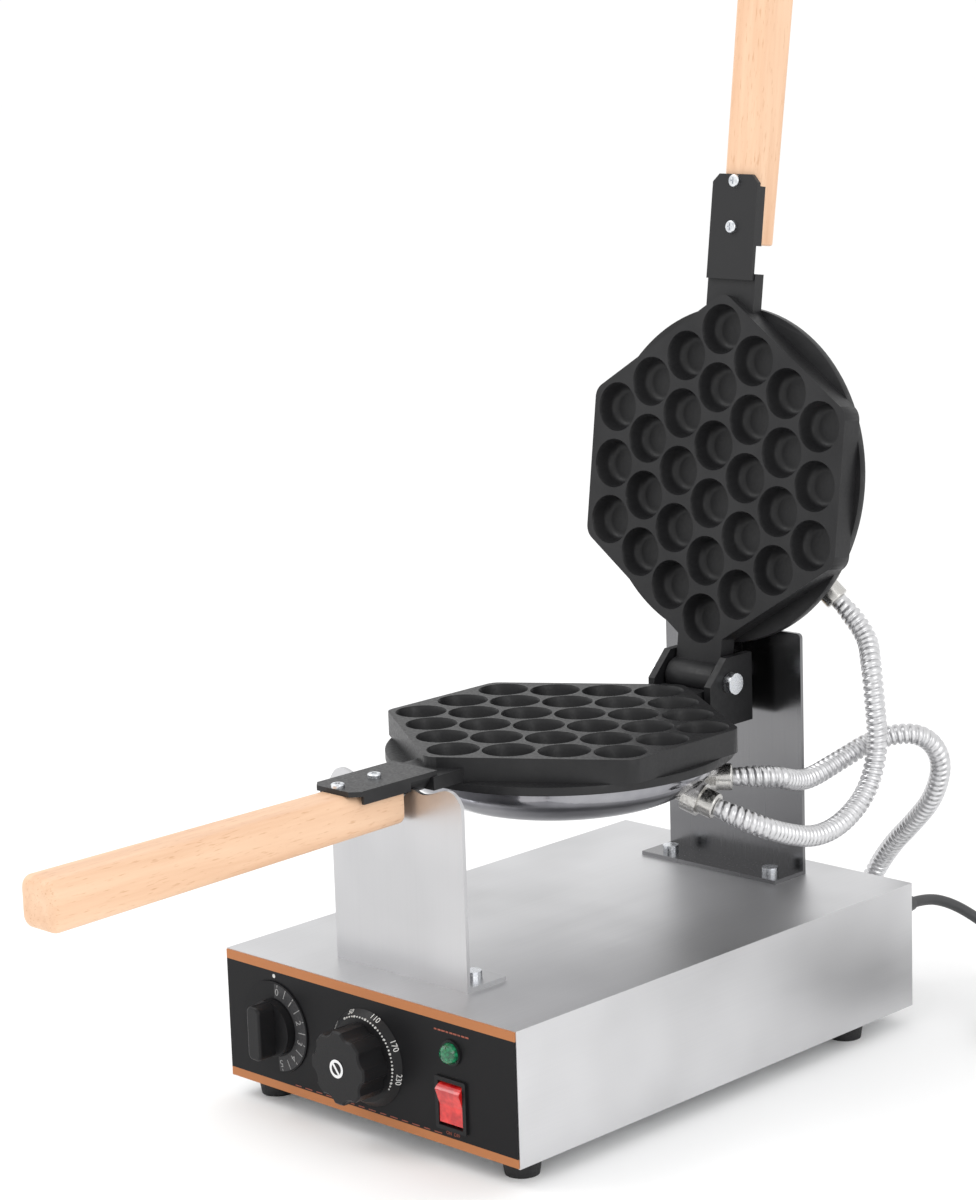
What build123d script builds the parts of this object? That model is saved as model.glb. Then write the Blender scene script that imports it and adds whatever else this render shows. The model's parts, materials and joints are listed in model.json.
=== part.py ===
"""Rotating double waffle maker for 30-cup bubble waffles.

Two hinged cast pans turn together about one long axis over a stainless control box.
Millimetres, +Z up, +Y to the rear. While the model is built, y = 0 is the front face of the
box and z = 0 is the surface that the rubber feet stand on. At the end every piece is moved
together along Y, so that the origin lies under the middle of the machine.
"""
from build123d import *
from math import asin, atan2, cos, degrees, pi, radians, sin, sqrt, tan
import os

# Control box
BOX_W = 240.0
BOX_L = 358.0
BOX_H = 80.0
FOOT_H = 12.0
SHEET = 1.2
SEAT = 0.3
FOOT_D = 24.0
FOOT_INSET_X = 18.0
FOOT_INSET_Y = 20.0
FOOT_BACK_INSET = 46.0
TOP_Z = FOOT_H + BOX_H

# Front panel and its controls
OVERLAY_T = 0.8
TIMER_X = -77.5
TIMER_Z = FOOT_H + 40.0
TIMER_DISC_D = 56.0
TIMER_KNOB_D = 34.0
TIMER_KNOB_H = 17.0
THERMO_X = 1.0
THERMO_Z = FOOT_H + 38.5
THERMO_SKIRT_D = 58.0
THERMO_GRIP_D = 44.0
THERMO_KNOB_H = 24.0
SPINDLE_D = 6.0
LAMP_X = 70.0
LAMP_Z = FOOT_H + 57.0
LAMP_D = 13.5
ROCKER_X = 69.0
ROCKER_Z = FOOT_H + 26.0
ROCKER_W = 18.5
ROCKER_H = 25.5
ROCKER_TILT = 9.0

# Turning axis and pans
AXIS_Z = TOP_Z + 125.4
PARTING_GAP = 0.5
PAN_Y = 168.7
HINGE_Y = 297.0
HINGE_RISE = 1.6
LID_OPEN = 97.8
CUP_PITCH = 36.3
COLUMN_PITCH = 27.35
CUPS_IN_COLUMN = (3, 4, 5, 6, 5, 4, 3)
CUP_D = 31.4
CUP_DEPTH = 12.0
CUP_DRAFT = 3.0
CUP_CORNER = 5.0
PLATE_MARGIN = 19.45
PLATE_H = 14.5
PLATE_CORNER = 10.0
RING_R = 105.7
RING_T = 5.0
NECK_W = 38.0
JOURNAL_R = 18.0
JOURNAL_S0 = 124.0
JOURNAL_S1 = 143.0
LUG_W = 36.0
LUG_R = 11.0
DOME_H = 25.5
DOME_R = 97.0
DOME_WALL = 1.0
HEATER_R = 62.0
HEATER_D = 7.5

# Straps and handles
STRAP_SET = 3.4
STRAP_T = 3.0
STRAP_W = 36.0
STRAP_S0 = 122.0
STRAP_S1 = 187.0
STRAP_SIDE = 5.0
HANDLE_S0 = 144.0
HANDLE_S1 = 397.0
HANDLE_W = 31.0
HANDLE_T = 32.0
HANDLE_SCREWS = (154.4, 182.8)
HANDLE_SCREW_D = 4.0

# Brackets on the box
CRADLE_Y = 29.3
CRADLE_W = 108.0
CRADLE_TOP = AXIS_Z - 8.4
CRADLE_FOOT = 31.4
UPRIGHT_Y = 330.3
UPRIGHT_W = 111.0
UPRIGHT_TOP = TOP_Z + 156.0
UPRIGHT_FOOT = 30.7
PLATE_T = 2.5
BOLT_D = 6.0

# Hinge clevis and rear shaft
EAR_IN = 20.5
EAR_T = 5.0
EAR_BEHIND = 22.0
EAR_ABOVE = 16.0
EAR_DROP = 26.0
HINGE_BOLT_D = 8.0
SHAFT_D = 16.0
BUSH_D = 24.0

# Ribbed conduits, mains lead
HOSE_D = 13.0
HOSE_BORE = 9.0
HOSE_RIB = 8.0
HOSE_GROOVE = 1.2
CORD_D = 7.0
COIL_GAP = 0.6
COIL_R = 53.0
COIL_TURNS = 3
COIL_X = 218.0
COIL_Y = 396.0
COIL_TAIL = 44.0
CORD_X = 100.0
CORD_Z = FOOT_H + 57.0
RELIEF_L = 26.0
GLAND_AF = 20.0
HOSE_GLAND_X = 40.0
HOSE_GLAND_Z = FOOT_H + 34.0

FROM_BOTTOM = (Align.CENTER, Align.CENTER, Align.MIN)
nodes = {}
cord_names = ("mains_cord", "mains_coil", "mains_plug", "strain_relief", "lid_hose", "base_hose")


def block(x0, x1, y0, y1, z0, z1):
    """A box between two corners."""
    return Pos((x0 + x1) / 2, (y0 + y1) / 2, (z0 + z1) / 2) * Box(x1 - x0, y1 - y0, z1 - z0)


def rod_z(d, z0, z1, x=0, y=0):
    """A round bar along Z."""
    return Pos(x, y, (z0 + z1) / 2) * Cylinder(d / 2, z1 - z0)


def rod_y(d, y0, y1, x=0, z=0):
    """A round bar along Y."""
    return Pos(x, (y0 + y1) / 2, z) * Rot(90, 0, 0) * Cylinder(d / 2, y1 - y0)


def rod_x(d, x0, x1, y=0, z=0):
    """A round bar along X."""
    return Pos((x0 + x1) / 2, y, z) * Rot(0, 90, 0) * Cylinder(d / 2, x1 - x0)


def nut_envelope(across):
    """Radius that a nut's corners are turned down to."""
    return across / sqrt(3) - 0.06 * across


def hexagon_nut(across, height, bore=0.0):
    """A hexagon along Z from z = 0, its corners turned down to a cylinder."""
    body = extrude(RegularPolygon(across / 2, 6, major_radius=False), height)
    rim = Pos(0, 0, height / 2) * Cylinder(nut_envelope(across), height)
    body = body & rim
    if bore:
        body -= Pos(0, 0, height / 2) * Cylinder(bore / 2, height * 2)
    return body


def pan_head(d, length, head_d, head_h):
    """A cross-head screw along Z, its head's underside at z = 0 and its shank below."""
    head = Pos(0, 0, head_h / 2) * Cylinder(head_d / 2, head_h)
    head = fillet(head.edges().group_by(Axis.Z)[-1], head_h * 0.45)
    long = head_d * 0.5
    narrow = head_d * 0.1
    cross = Pos(0, 0, head_h) * (Box(long, narrow, head_h) + Box(narrow, long, head_h))
    return head - cross + Pos(0, 0, -length / 2) * Cylinder(d / 2, length)


def hex_bolt(d, length, across, head_h):
    """A hexagon bolt along Z, its head's underside at z = 0 and its shank below."""
    return hexagon_nut(across, head_h) + Pos(0, 0, -length / 2) * Cylinder(d / 2, length)


def group(pieces):
    """Several separate solids in one node."""
    return Compound(children=list(pieces))


# The pans are drawn closed and lying face up at their own centre: +X across, +Y towards the
# hinge, the face at z = 0 and the body below it. The lower pan stays so, the lid is turned over.

def cup_places():
    """Centres of the cups: columns along the handle, each shifted by half a pitch."""
    places = []
    middle = len(CUPS_IN_COLUMN) // 2
    for column, count in enumerate(CUPS_IN_COLUMN):
        for cup in range(count):
            places.append(((column - middle) * COLUMN_PITCH, (cup - (count - 1) / 2) * CUP_PITCH))
    return places


def cup_cutter():
    """One baking cup as a solid: steep wall, round corner, flat floor, and 1 mm above the face."""
    lip = CUP_D / 2 + CUP_DRAFT / CUP_DEPTH
    wall = Cone(CUP_D / 2 - CUP_DRAFT, lip, CUP_DEPTH + 1, align=FROM_BOTTOM)
    cup = fillet(wall.edges().group_by(Axis.Z)[0], CUP_CORNER)
    return Pos(0, 0, -CUP_DEPTH) * cup


def plate_outline():
    """Hexagon round the cups at an even margin, its points towards the neck and the hinge."""
    half_w = (len(CUPS_IN_COLUMN) // 2) * COLUMN_PITCH + PLATE_MARGIN
    slope = atan2(CUP_PITCH / 2, COLUMN_PITCH)
    tip = (max(CUPS_IN_COLUMN) - 1) / 2 * CUP_PITCH + PLATE_MARGIN / cos(slope)
    shoulder = tip - half_w * sin(slope) / cos(slope)
    points = [(0, tip), (half_w, shoulder), (half_w, -shoulder), (0, -tip), (-half_w, -shoulder), (-half_w, shoulder)]
    face = make_face(Polyline(*points, close=True))
    return fillet(face.vertices(), PLATE_CORNER)


def pan_plate(lug):
    """Aluminium casting: cups, hexagonal wall, round flange, neck with half journal, rear lug."""
    body = extrude(plate_outline(), -PLATE_H)
    body += Pos(0, 0, -PLATE_H - RING_T / 2) * Cylinder(RING_R, RING_T)
    body += block(-NECK_W / 2, NECK_W / 2, -JOURNAL_S0 - 2, -100, -PLATE_H, -STRAP_SET - STRAP_T)
    journal = rod_y(2 * JOURNAL_R, -JOURNAL_S1, -JOURNAL_S0, 0, PARTING_GAP / 2)
    journal &= block(-JOURNAL_R, JOURNAL_R, -JOURNAL_S1, -JOURNAL_S0, -JOURNAL_R, -STRAP_SET - STRAP_T)
    body += journal
    body += lug
    cup = cup_cutter()
    body -= [Pos(x, y, 0) * cup for x, y in cup_places()]
    body -= rod_z(6, -PLATE_H - RING_T - 1, -PLATE_H - RING_T + 5)
    return body


def pan_dome():
    """Spun stainless bowl that covers the heater, with a turned-in flat bottom."""
    top = -PLATE_H - RING_T - SEAT
    low = top - DOME_H
    side = Spline((DOME_R - 1, top - 4), (DOME_R - 10, top - DOME_H * 0.6), (DOME_R - 37, low),
                  tangents=((-0.15, -1), (-1, 0)))
    inner_side = Spline((DOME_R - 37, low + DOME_WALL), (DOME_R - 10 - DOME_WALL, top - DOME_H * 0.6 + DOME_WALL / 2),
                        (DOME_R - 1 - DOME_WALL, top - 4), tangents=((1, 0), (0.15, 1)))
    edges = [
        Line((DOME_R, top), (DOME_R - 1, top - 4)),
        side,
        Line((DOME_R - 37, low), (4, low)),
        Line((4, low), (4, low + DOME_WALL)),
        Line((4, low + DOME_WALL), (DOME_R - 37, low + DOME_WALL)),
        inner_side,
        Line((DOME_R - 1 - DOME_WALL, top - 4), (DOME_R - DOME_WALL, top)),
        Line((DOME_R - DOME_WALL, top), (DOME_R, top)),
    ]
    face = make_face([Plane.XZ * edge for edge in edges])
    return revolve(face, Axis.Z)


def pan_heater():
    """Tubular heater bent into an open ring under the cups, its two ends turned down."""
    z = -PLATE_H - RING_T - SEAT - HEATER_D / 2
    gap = 24
    start = degrees(asin(gap / 2 / HEATER_R))
    ring = Pos(0, 0, z) * Torus(HEATER_R, HEATER_D / 2, major_angle=360 - 2 * start)
    return Rot(0, 0, start) * ring


def centre_stud():
    """Stud and dome nut that hold the bowl to the casting at its centre."""
    top = -PLATE_H - RING_T
    low = top - SEAT - DOME_H
    stud = rod_z(5.6, low - 8, top + 4)
    nut = Pos(0, 0, low - 6.5) * hexagon_nut(13, 6.5)
    crown = Pos(0, 0, low - 6.5) * Sphere(5.2)
    crown &= block(-6, 6, -6, 6, low - 12, low - 6.5)
    return stud + nut + crown


def strap():
    """Pressed steel channel from the neck out over the handle."""
    top = -STRAP_SET
    tip = 5
    outline = Polyline((-STRAP_W / 2, -STRAP_S0), (STRAP_W / 2, -STRAP_S0), (STRAP_W / 2, -STRAP_S1 + tip),
                       (STRAP_W / 2 - tip, -STRAP_S1), (-STRAP_W / 2 + tip, -STRAP_S1),
                       (-STRAP_W / 2, -STRAP_S1 + tip), close=True)
    body = Pos(0, 0, top - STRAP_T) * extrude(make_face(outline), STRAP_T)
    for side in (-1, 1):
        x_out = side * STRAP_W / 2
        x_in = side * (STRAP_W / 2 - 2)
        body += block(min(x_out, x_in), max(x_out, x_in), -STRAP_S1 + tip + 2, -JOURNAL_S1 - SEAT,
                      top - STRAP_T - STRAP_SIDE, top - STRAP_T / 2)
    for s in HANDLE_SCREWS:
        body -= rod_z(HANDLE_SCREW_D + 0.6, top - STRAP_T - 1, top + 1, 0, -s)
    return body


def handle():
    """Turned and flattened beech grip, its far end rounded."""
    top = -STRAP_SET - STRAP_T - 0.05
    corner = 9
    section = Plane((0, -HANDLE_S0, top - HANDLE_T / 2), x_dir=(1, 0, 0), z_dir=(0, -1, 0))
    body = extrude(section * RectangleRounded(HANDLE_W, HANDLE_T, corner), HANDLE_S1 - HANDLE_S0)
    end = body.faces().sort_by(Axis.Y)[0]
    body = fillet(end.edges(), 5)
    for s in HANDLE_SCREWS:
        body -= rod_z(HANDLE_SCREW_D + 0.1, top - 20, top + 1, 0, -s)
    return body


def handle_screws():
    """Two screws down through the strap into the wood."""
    return [Pos(0, -s, -STRAP_SET) * pan_head(HANDLE_SCREW_D, 19, 8, 2.4) for s in HANDLE_SCREWS]


def gland_frame(angle, drop):
    """Place of a conduit gland on a bowl: round the bowl by the angle, its axis dropped from level."""
    return Rot(0, 0, angle) * Pos(GLAND_R, 0, GLAND_Z) * Rot(0, 90 + drop, 0)


def gland():
    """Hexagon conduit nut with its ferrule along Z, a short tail reaching into the bowl."""
    ferrule = Pos(0, 0, GLAND_NUT) * Cylinder(HOSE_D / 2 + 1.6, GLAND_LENGTH - GLAND_NUT, align=FROM_BOTTOM)
    body = hexagon_nut(GLAND_AF, GLAND_NUT) + ferrule
    body = fillet(body.edges().group_by(Axis.Z)[-1], 1.2)
    body += Pos(0, 0, -6) * Cylinder(HOSE_D / 2, 6, align=FROM_BOTTOM)
    body -= Pos(0, 0, GLAND_LENGTH / 2) * Cylinder(HOSE_BORE / 2, 2 * GLAND_LENGTH)
    return body


def lid_place(shape):
    """Turn a pan over onto the lower one and swing it open about the hinge."""
    closed = Pos(0, PAN_Y, AXIS_Z) * Rot(0, 180, 0) * Pos(0, 0, -PARTING_GAP / 2) * shape
    pivot = Pos(0, HINGE_Y, AXIS_Z + HINGE_RISE)
    return pivot * Rot(-LID_OPEN, 0, 0) * pivot.inverse() * closed


def lower_place(shape):
    """Set a pan on the turning axis, face up."""
    return Pos(0, PAN_Y, AXIS_Z - PARTING_GAP / 2) * shape


HINGE_S = HINGE_Y - PAN_Y
GLAND_Z = -PLATE_H - RING_T - 18.5
GLAND_R = DOME_R - 14
GLAND_NUT = 10.0
GLAND_LENGTH = 20.0
NUT_ENVELOPE = nut_envelope(GLAND_AF)
LID_HOSE_GLAND = (17.0, 20.0)
BASE_HOSE_GLAND = (42.0, 0.0)
UPPER_GLAND = (135.0, 20.0)


def pans():
    """Both pans with all that is fixed to them."""
    lower_lug = block(-LUG_W / 2, LUG_W / 2, 100, HINGE_S - LUG_R - 1, -PLATE_H, -2)
    for side in (-1, 1):
        lower_lug -= rod_z(4.1, -PLATE_H - 1, -PLATE_H + 8, side * 11, HINGE_S - LUG_R - 6)
    lower = pan_plate(lower_lug)
    lid_axis_z = -(HINGE_RISE - PARTING_GAP / 2)
    lid_lug = block(-LUG_W / 2, LUG_W / 2, 100, HINGE_S, -PLATE_H + 2, 0)
    lid_lug = lid_lug + rod_x(2 * LUG_R, -LUG_W / 2, LUG_W / 2, HINGE_S, lid_axis_z)
    upper = pan_plate(lid_lug)
    upper -= rod_x(HINGE_BOLT_D + 0.4, -LUG_W, LUG_W, HINGE_S, lid_axis_z)
    for name, place, plate in (("lower", lower_place, lower), ("upper", lid_place, upper)):
        nodes[name + "_plate"] = place(plate)
        dome = pan_dome()
        fittings = (LID_HOSE_GLAND, BASE_HOSE_GLAND) if name == "lower" else (UPPER_GLAND,)
        glands = []
        for angle, drop in fittings:
            glands.append(gland_frame(angle, drop) * gland())
            dome -= gland_frame(angle, drop) * Cylinder(HOSE_D / 2 + SEAT, GLAND_LENGTH)
            dome -= gland_frame(angle, drop) * Cylinder(NUT_ENVELOPE + SEAT, GLAND_LENGTH, align=FROM_BOTTOM)
        nodes[name + "_dome"] = place(dome)
        nodes[name + "_gland"] = place(group(glands)) if len(glands) > 1 else place(glands[0])
        nodes[name + "_heater"] = place(pan_heater())
        nodes[name + "_dome_stud"] = place(centre_stud())
        nodes[name + "_strap"] = place(strap())
        nodes[name + "_handle"] = place(handle())
        nodes[name + "_handle_screws"] = place(group(handle_screws()))


def hinge():
    """Cast clevis on the lower pan: two ears, a rear web with the shaft, and the hinge bolt."""
    z_hinge = AXIS_Z + HINGE_RISE
    ear_front = PAN_Y + RING_R
    ear_back = HINGE_Y + EAR_BEHIND
    ear_low = AXIS_Z - EAR_DROP
    ear_top = z_hinge + EAR_ABOVE
    out = EAR_IN + EAR_T
    lug_under = AXIS_Z - PARTING_GAP / 2 - PLATE_H
    body = block(-out, out, ear_back - EAR_T - 1, ear_back, ear_low, z_hinge + 10)
    body += block(-out, out, ear_front + 6, ear_back, ear_low, lug_under)
    for side in (-1, 1):
        x0 = min(side * EAR_IN, side * out)
        x1 = max(side * EAR_IN, side * out)
        ear = block(x0, x1, ear_front + 4, ear_back, ear_low, ear_top)
        ear = chamfer(ear.edges().filter_by(Axis.X).group_by(Axis.Y)[0].sort_by(Axis.Z)[-1], 16)
        body += ear
    ring_cut = Pos(0, PAN_Y, lug_under - RING_T / 2) * Cylinder(RING_R + SEAT, RING_T + 2 * SEAT)
    body -= ring_cut
    body -= rod_x(HINGE_BOLT_D + 0.4, -out - 1, out + 1, HINGE_Y, z_hinge)
    body -= rod_y(SHAFT_D - 4, ear_back - EAR_T - 2, ear_back + 1, 0, AXIS_Z)
    for side in (-1, 1):
        body -= rod_z(4.4, ear_low - 1, AXIS_Z, side * 11, HINGE_Y - LUG_R - 6)
    nodes["hinge_bracket"] = body
    screws = []
    for side in (-1, 1):
        screws.append(Pos(side * 11, HINGE_Y - LUG_R - 6, ear_low) * Rot(180, 0, 0) * pan_head(4, 16, 8, 3))
    nodes["hinge_bracket_screws"] = group(screws)
    bolt = Pos(out + SEAT, HINGE_Y, z_hinge) * Rot(0, 90, 0) * hex_bolt(HINGE_BOLT_D, 2 * out + 10, 13, 5.3)
    nodes["hinge_bolt"] = bolt
    nut = Pos(-out - SEAT - 6.5, HINGE_Y, z_hinge) * Rot(0, 90, 0) * hexagon_nut(13, 6.5, HINGE_BOLT_D + 0.1)
    nodes["hinge_nut"] = nut
    shaft_end = UPRIGHT_Y + PLATE_T + 15
    shaft = rod_y(SHAFT_D, ear_back, shaft_end, 0, AXIS_Z) + rod_y(SHAFT_D - 4.2, ear_back - EAR_T, ear_back, 0, AXIS_Z)
    shaft += rod_y(10, shaft_end, shaft_end + 9, 0, AXIS_Z)
    nodes["turning_shaft"] = shaft
    washer = rod_y(26, shaft_end, shaft_end + 1.6, 0, AXIS_Z) - rod_y(10.2, shaft_end - 1, shaft_end + 3, 0, AXIS_Z)
    nodes["shaft_washer"] = washer
    nut = Pos(0, shaft_end + 1.6, AXIS_Z) * Rot(-90, 0, 0) * hexagon_nut(17, 6, 10.1)
    nodes["shaft_nut"] = nut


def cradle():
    """Front bracket: upright plate with two lobes and a round notch for the journal, foot to the rear."""
    notch_r = JOURNAL_R + SEAT
    half = CRADLE_W / 2
    lobe_in = notch_r + 2
    outline = [
        Line((-half, TOP_Z), (half, TOP_Z)),
        Line((half, TOP_Z), (half, CRADLE_TOP - 8)),
        Spline((half, CRADLE_TOP - 8), (half - 12, CRADLE_TOP), (lobe_in + 5, CRADLE_TOP - 5), (lobe_in - 3, AXIS_Z - 12)),
        Line((lobe_in - 3, AXIS_Z - 12), (-lobe_in + 3, AXIS_Z - 12)),
        Spline((-lobe_in + 3, AXIS_Z - 12), (-lobe_in - 5, CRADLE_TOP - 5), (-half + 12, CRADLE_TOP), (-half, CRADLE_TOP - 8)),
        Line((-half, CRADLE_TOP - 8), (-half, TOP_Z)),
    ]
    face = make_face([Plane.XZ * edge for edge in outline])
    plate = Pos(0, CRADLE_Y, 0) * extrude(face, -PLATE_T)
    plate -= rod_y(2 * notch_r, CRADLE_Y - 5, CRADLE_Y + PLATE_T + 5, 0, AXIS_Z)
    foot = block(-half, half, CRADLE_Y, CRADLE_Y + CRADLE_FOOT, TOP_Z, TOP_Z + PLATE_T)
    body = plate + foot
    places = [(side * (half - 14), CRADLE_Y + CRADLE_FOOT * 0.6) for side in (-1, 1)]
    for x, y in places:
        body -= rod_z(BOLT_D + 0.4, TOP_Z - 1, TOP_Z + PLATE_T + 1, x, y)
    nodes["front_cradle"] = body
    bolts = [Pos(x, y, TOP_Z + PLATE_T) * hex_bolt(BOLT_D, 14, 10, 4) for x, y in places]
    nodes["cradle_bolts"] = group(bolts)
    return places


def upright():
    """Rear bracket: plain upright plate with the shaft bush, foot to the front with two bolts."""
    half = UPRIGHT_W / 2
    body = block(-half, half, UPRIGHT_Y, UPRIGHT_Y + PLATE_T, TOP_Z, UPRIGHT_TOP)
    body = fillet(body.edges().filter_by(Axis.Y).group_by(Axis.Z)[-1], 3)
    body += block(-half, half, UPRIGHT_Y + PLATE_T - UPRIGHT_FOOT, UPRIGHT_Y + PLATE_T, TOP_Z, TOP_Z + PLATE_T)
    body -= rod_y(BUSH_D - 4 + 0.2, UPRIGHT_Y - 1, UPRIGHT_Y + PLATE_T + 1, 0, AXIS_Z)
    places = [(side * (half - 14), UPRIGHT_Y + PLATE_T - UPRIGHT_FOOT * 0.6) for side in (-1, 1)]
    for x, y in places:
        body -= rod_z(BOLT_D + 0.4, TOP_Z - 1, TOP_Z + PLATE_T + 1, x, y)
    nodes["rear_upright"] = body
    bolts = [Pos(x, y, TOP_Z + PLATE_T) * hex_bolt(BOLT_D, 14, 10, 4) for x, y in places]
    nodes["upright_bolts"] = group(bolts)
    back = UPRIGHT_Y + PLATE_T
    bush = rod_y(BUSH_D - 4, UPRIGHT_Y - 2, back + 12, 0, AXIS_Z) + rod_y(BUSH_D + 6, back, back + 3, 0, AXIS_Z)
    bush -= rod_y(SHAFT_D + 0.4, UPRIGHT_Y - 5, back + 15, 0, AXIS_Z)
    nodes["bearing_bush"] = bush
    return places


def box_body(bolt_places):
    """Folded cover, front and rear plates, bottom plate, feet and their screws."""
    half = BOX_W / 2
    cover = block(-half, half, 0, BOX_L, FOOT_H, TOP_Z)
    cover -= block(-half + SHEET, half - SHEET, -1, BOX_L + 1, FOOT_H - 1, TOP_Z - SHEET)
    for x, y in bolt_places:
        cover -= rod_z(BOLT_D + 0.4, TOP_Z - SHEET - 1, TOP_Z + 1, x, y)
    nodes["base_cover"] = cover
    inner = half - SHEET - 0.1
    front = block(-inner, inner, SEAT, SEAT + SHEET, FOOT_H + SHEET, TOP_Z - SHEET - 0.1)
    front += block(-inner, inner, SEAT, 14, TOP_Z - 2 * SHEET - 0.1, TOP_Z - SHEET - 0.1)
    holes = [
        rod_y(9, -5, 5, TIMER_X, TIMER_Z),
        rod_y(9, -5, 5, THERMO_X, THERMO_Z),
        rod_y(LAMP_D - 1.8, -5, 5, LAMP_X, LAMP_Z),
        block(ROCKER_X - ROCKER_W / 2 - 1.3, ROCKER_X + ROCKER_W / 2 + 1.3, -5, 5,
              ROCKER_Z - ROCKER_H / 2 - 1.3, ROCKER_Z + ROCKER_H / 2 + 1.3),
    ]
    overlay = block(-half + 0.6, half - 0.6, -OVERLAY_T, 0, FOOT_H + 0.6, TOP_Z - 0.4)
    for hole in holes:
        front -= hole
        overlay -= hole
    nodes["front_plate"] = front
    nodes["front_panel"] = overlay
    rear = block(-inner, inner, BOX_L - SHEET, BOX_L, FOOT_H + SHEET, TOP_Z - SHEET - 0.1)
    rear += block(-inner, inner, BOX_L - 14, BOX_L, TOP_Z - 2 * SHEET - 0.1, TOP_Z - SHEET - 0.1)
    rear -= rod_y(12.4, BOX_L - 5, BOX_L + 5, CORD_X, CORD_Z)
    rear -= rod_y(15.4, BOX_L - 5, BOX_L + 5, HOSE_GLAND_X, HOSE_GLAND_Z)
    nodes["rear_panel"] = rear
    bottom = block(-inner, inner, SEAT, BOX_L - SEAT, FOOT_H, FOOT_H + SHEET)
    slot = SlotOverall(44, 4)
    for row in range(6):
        for side in (-1, 1):
            bottom -= Pos(side * 42, 120 + row * 18, FOOT_H - 1) * extrude(slot, 5)
    feet = []
    screws = []
    for side in (-1, 1):
        for y in (FOOT_INSET_Y, BOX_L - FOOT_BACK_INSET):
            x = side * (half - FOOT_INSET_X)
            foot = Pos(x, y, FOOT_H / 2) * Cone(FOOT_D / 2 - 2, FOOT_D / 2, FOOT_H)
            foot -= rod_z(9, -1, 4, x, y) + rod_z(4.4, 3, FOOT_H + 1, x, y)
            feet.append(foot)
            screws.append(Pos(x, y, 4) * Rot(180, 0, 0) * pan_head(4, FOOT_H + 1, 7.6, 2.6))
            bottom -= rod_z(4.4, FOOT_H - 1, FOOT_H + 5, x, y)
    nodes["bottom_plate"] = bottom
    nodes["rubber_feet"] = group(feet)
    nodes["foot_screws"] = group(screws)


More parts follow.
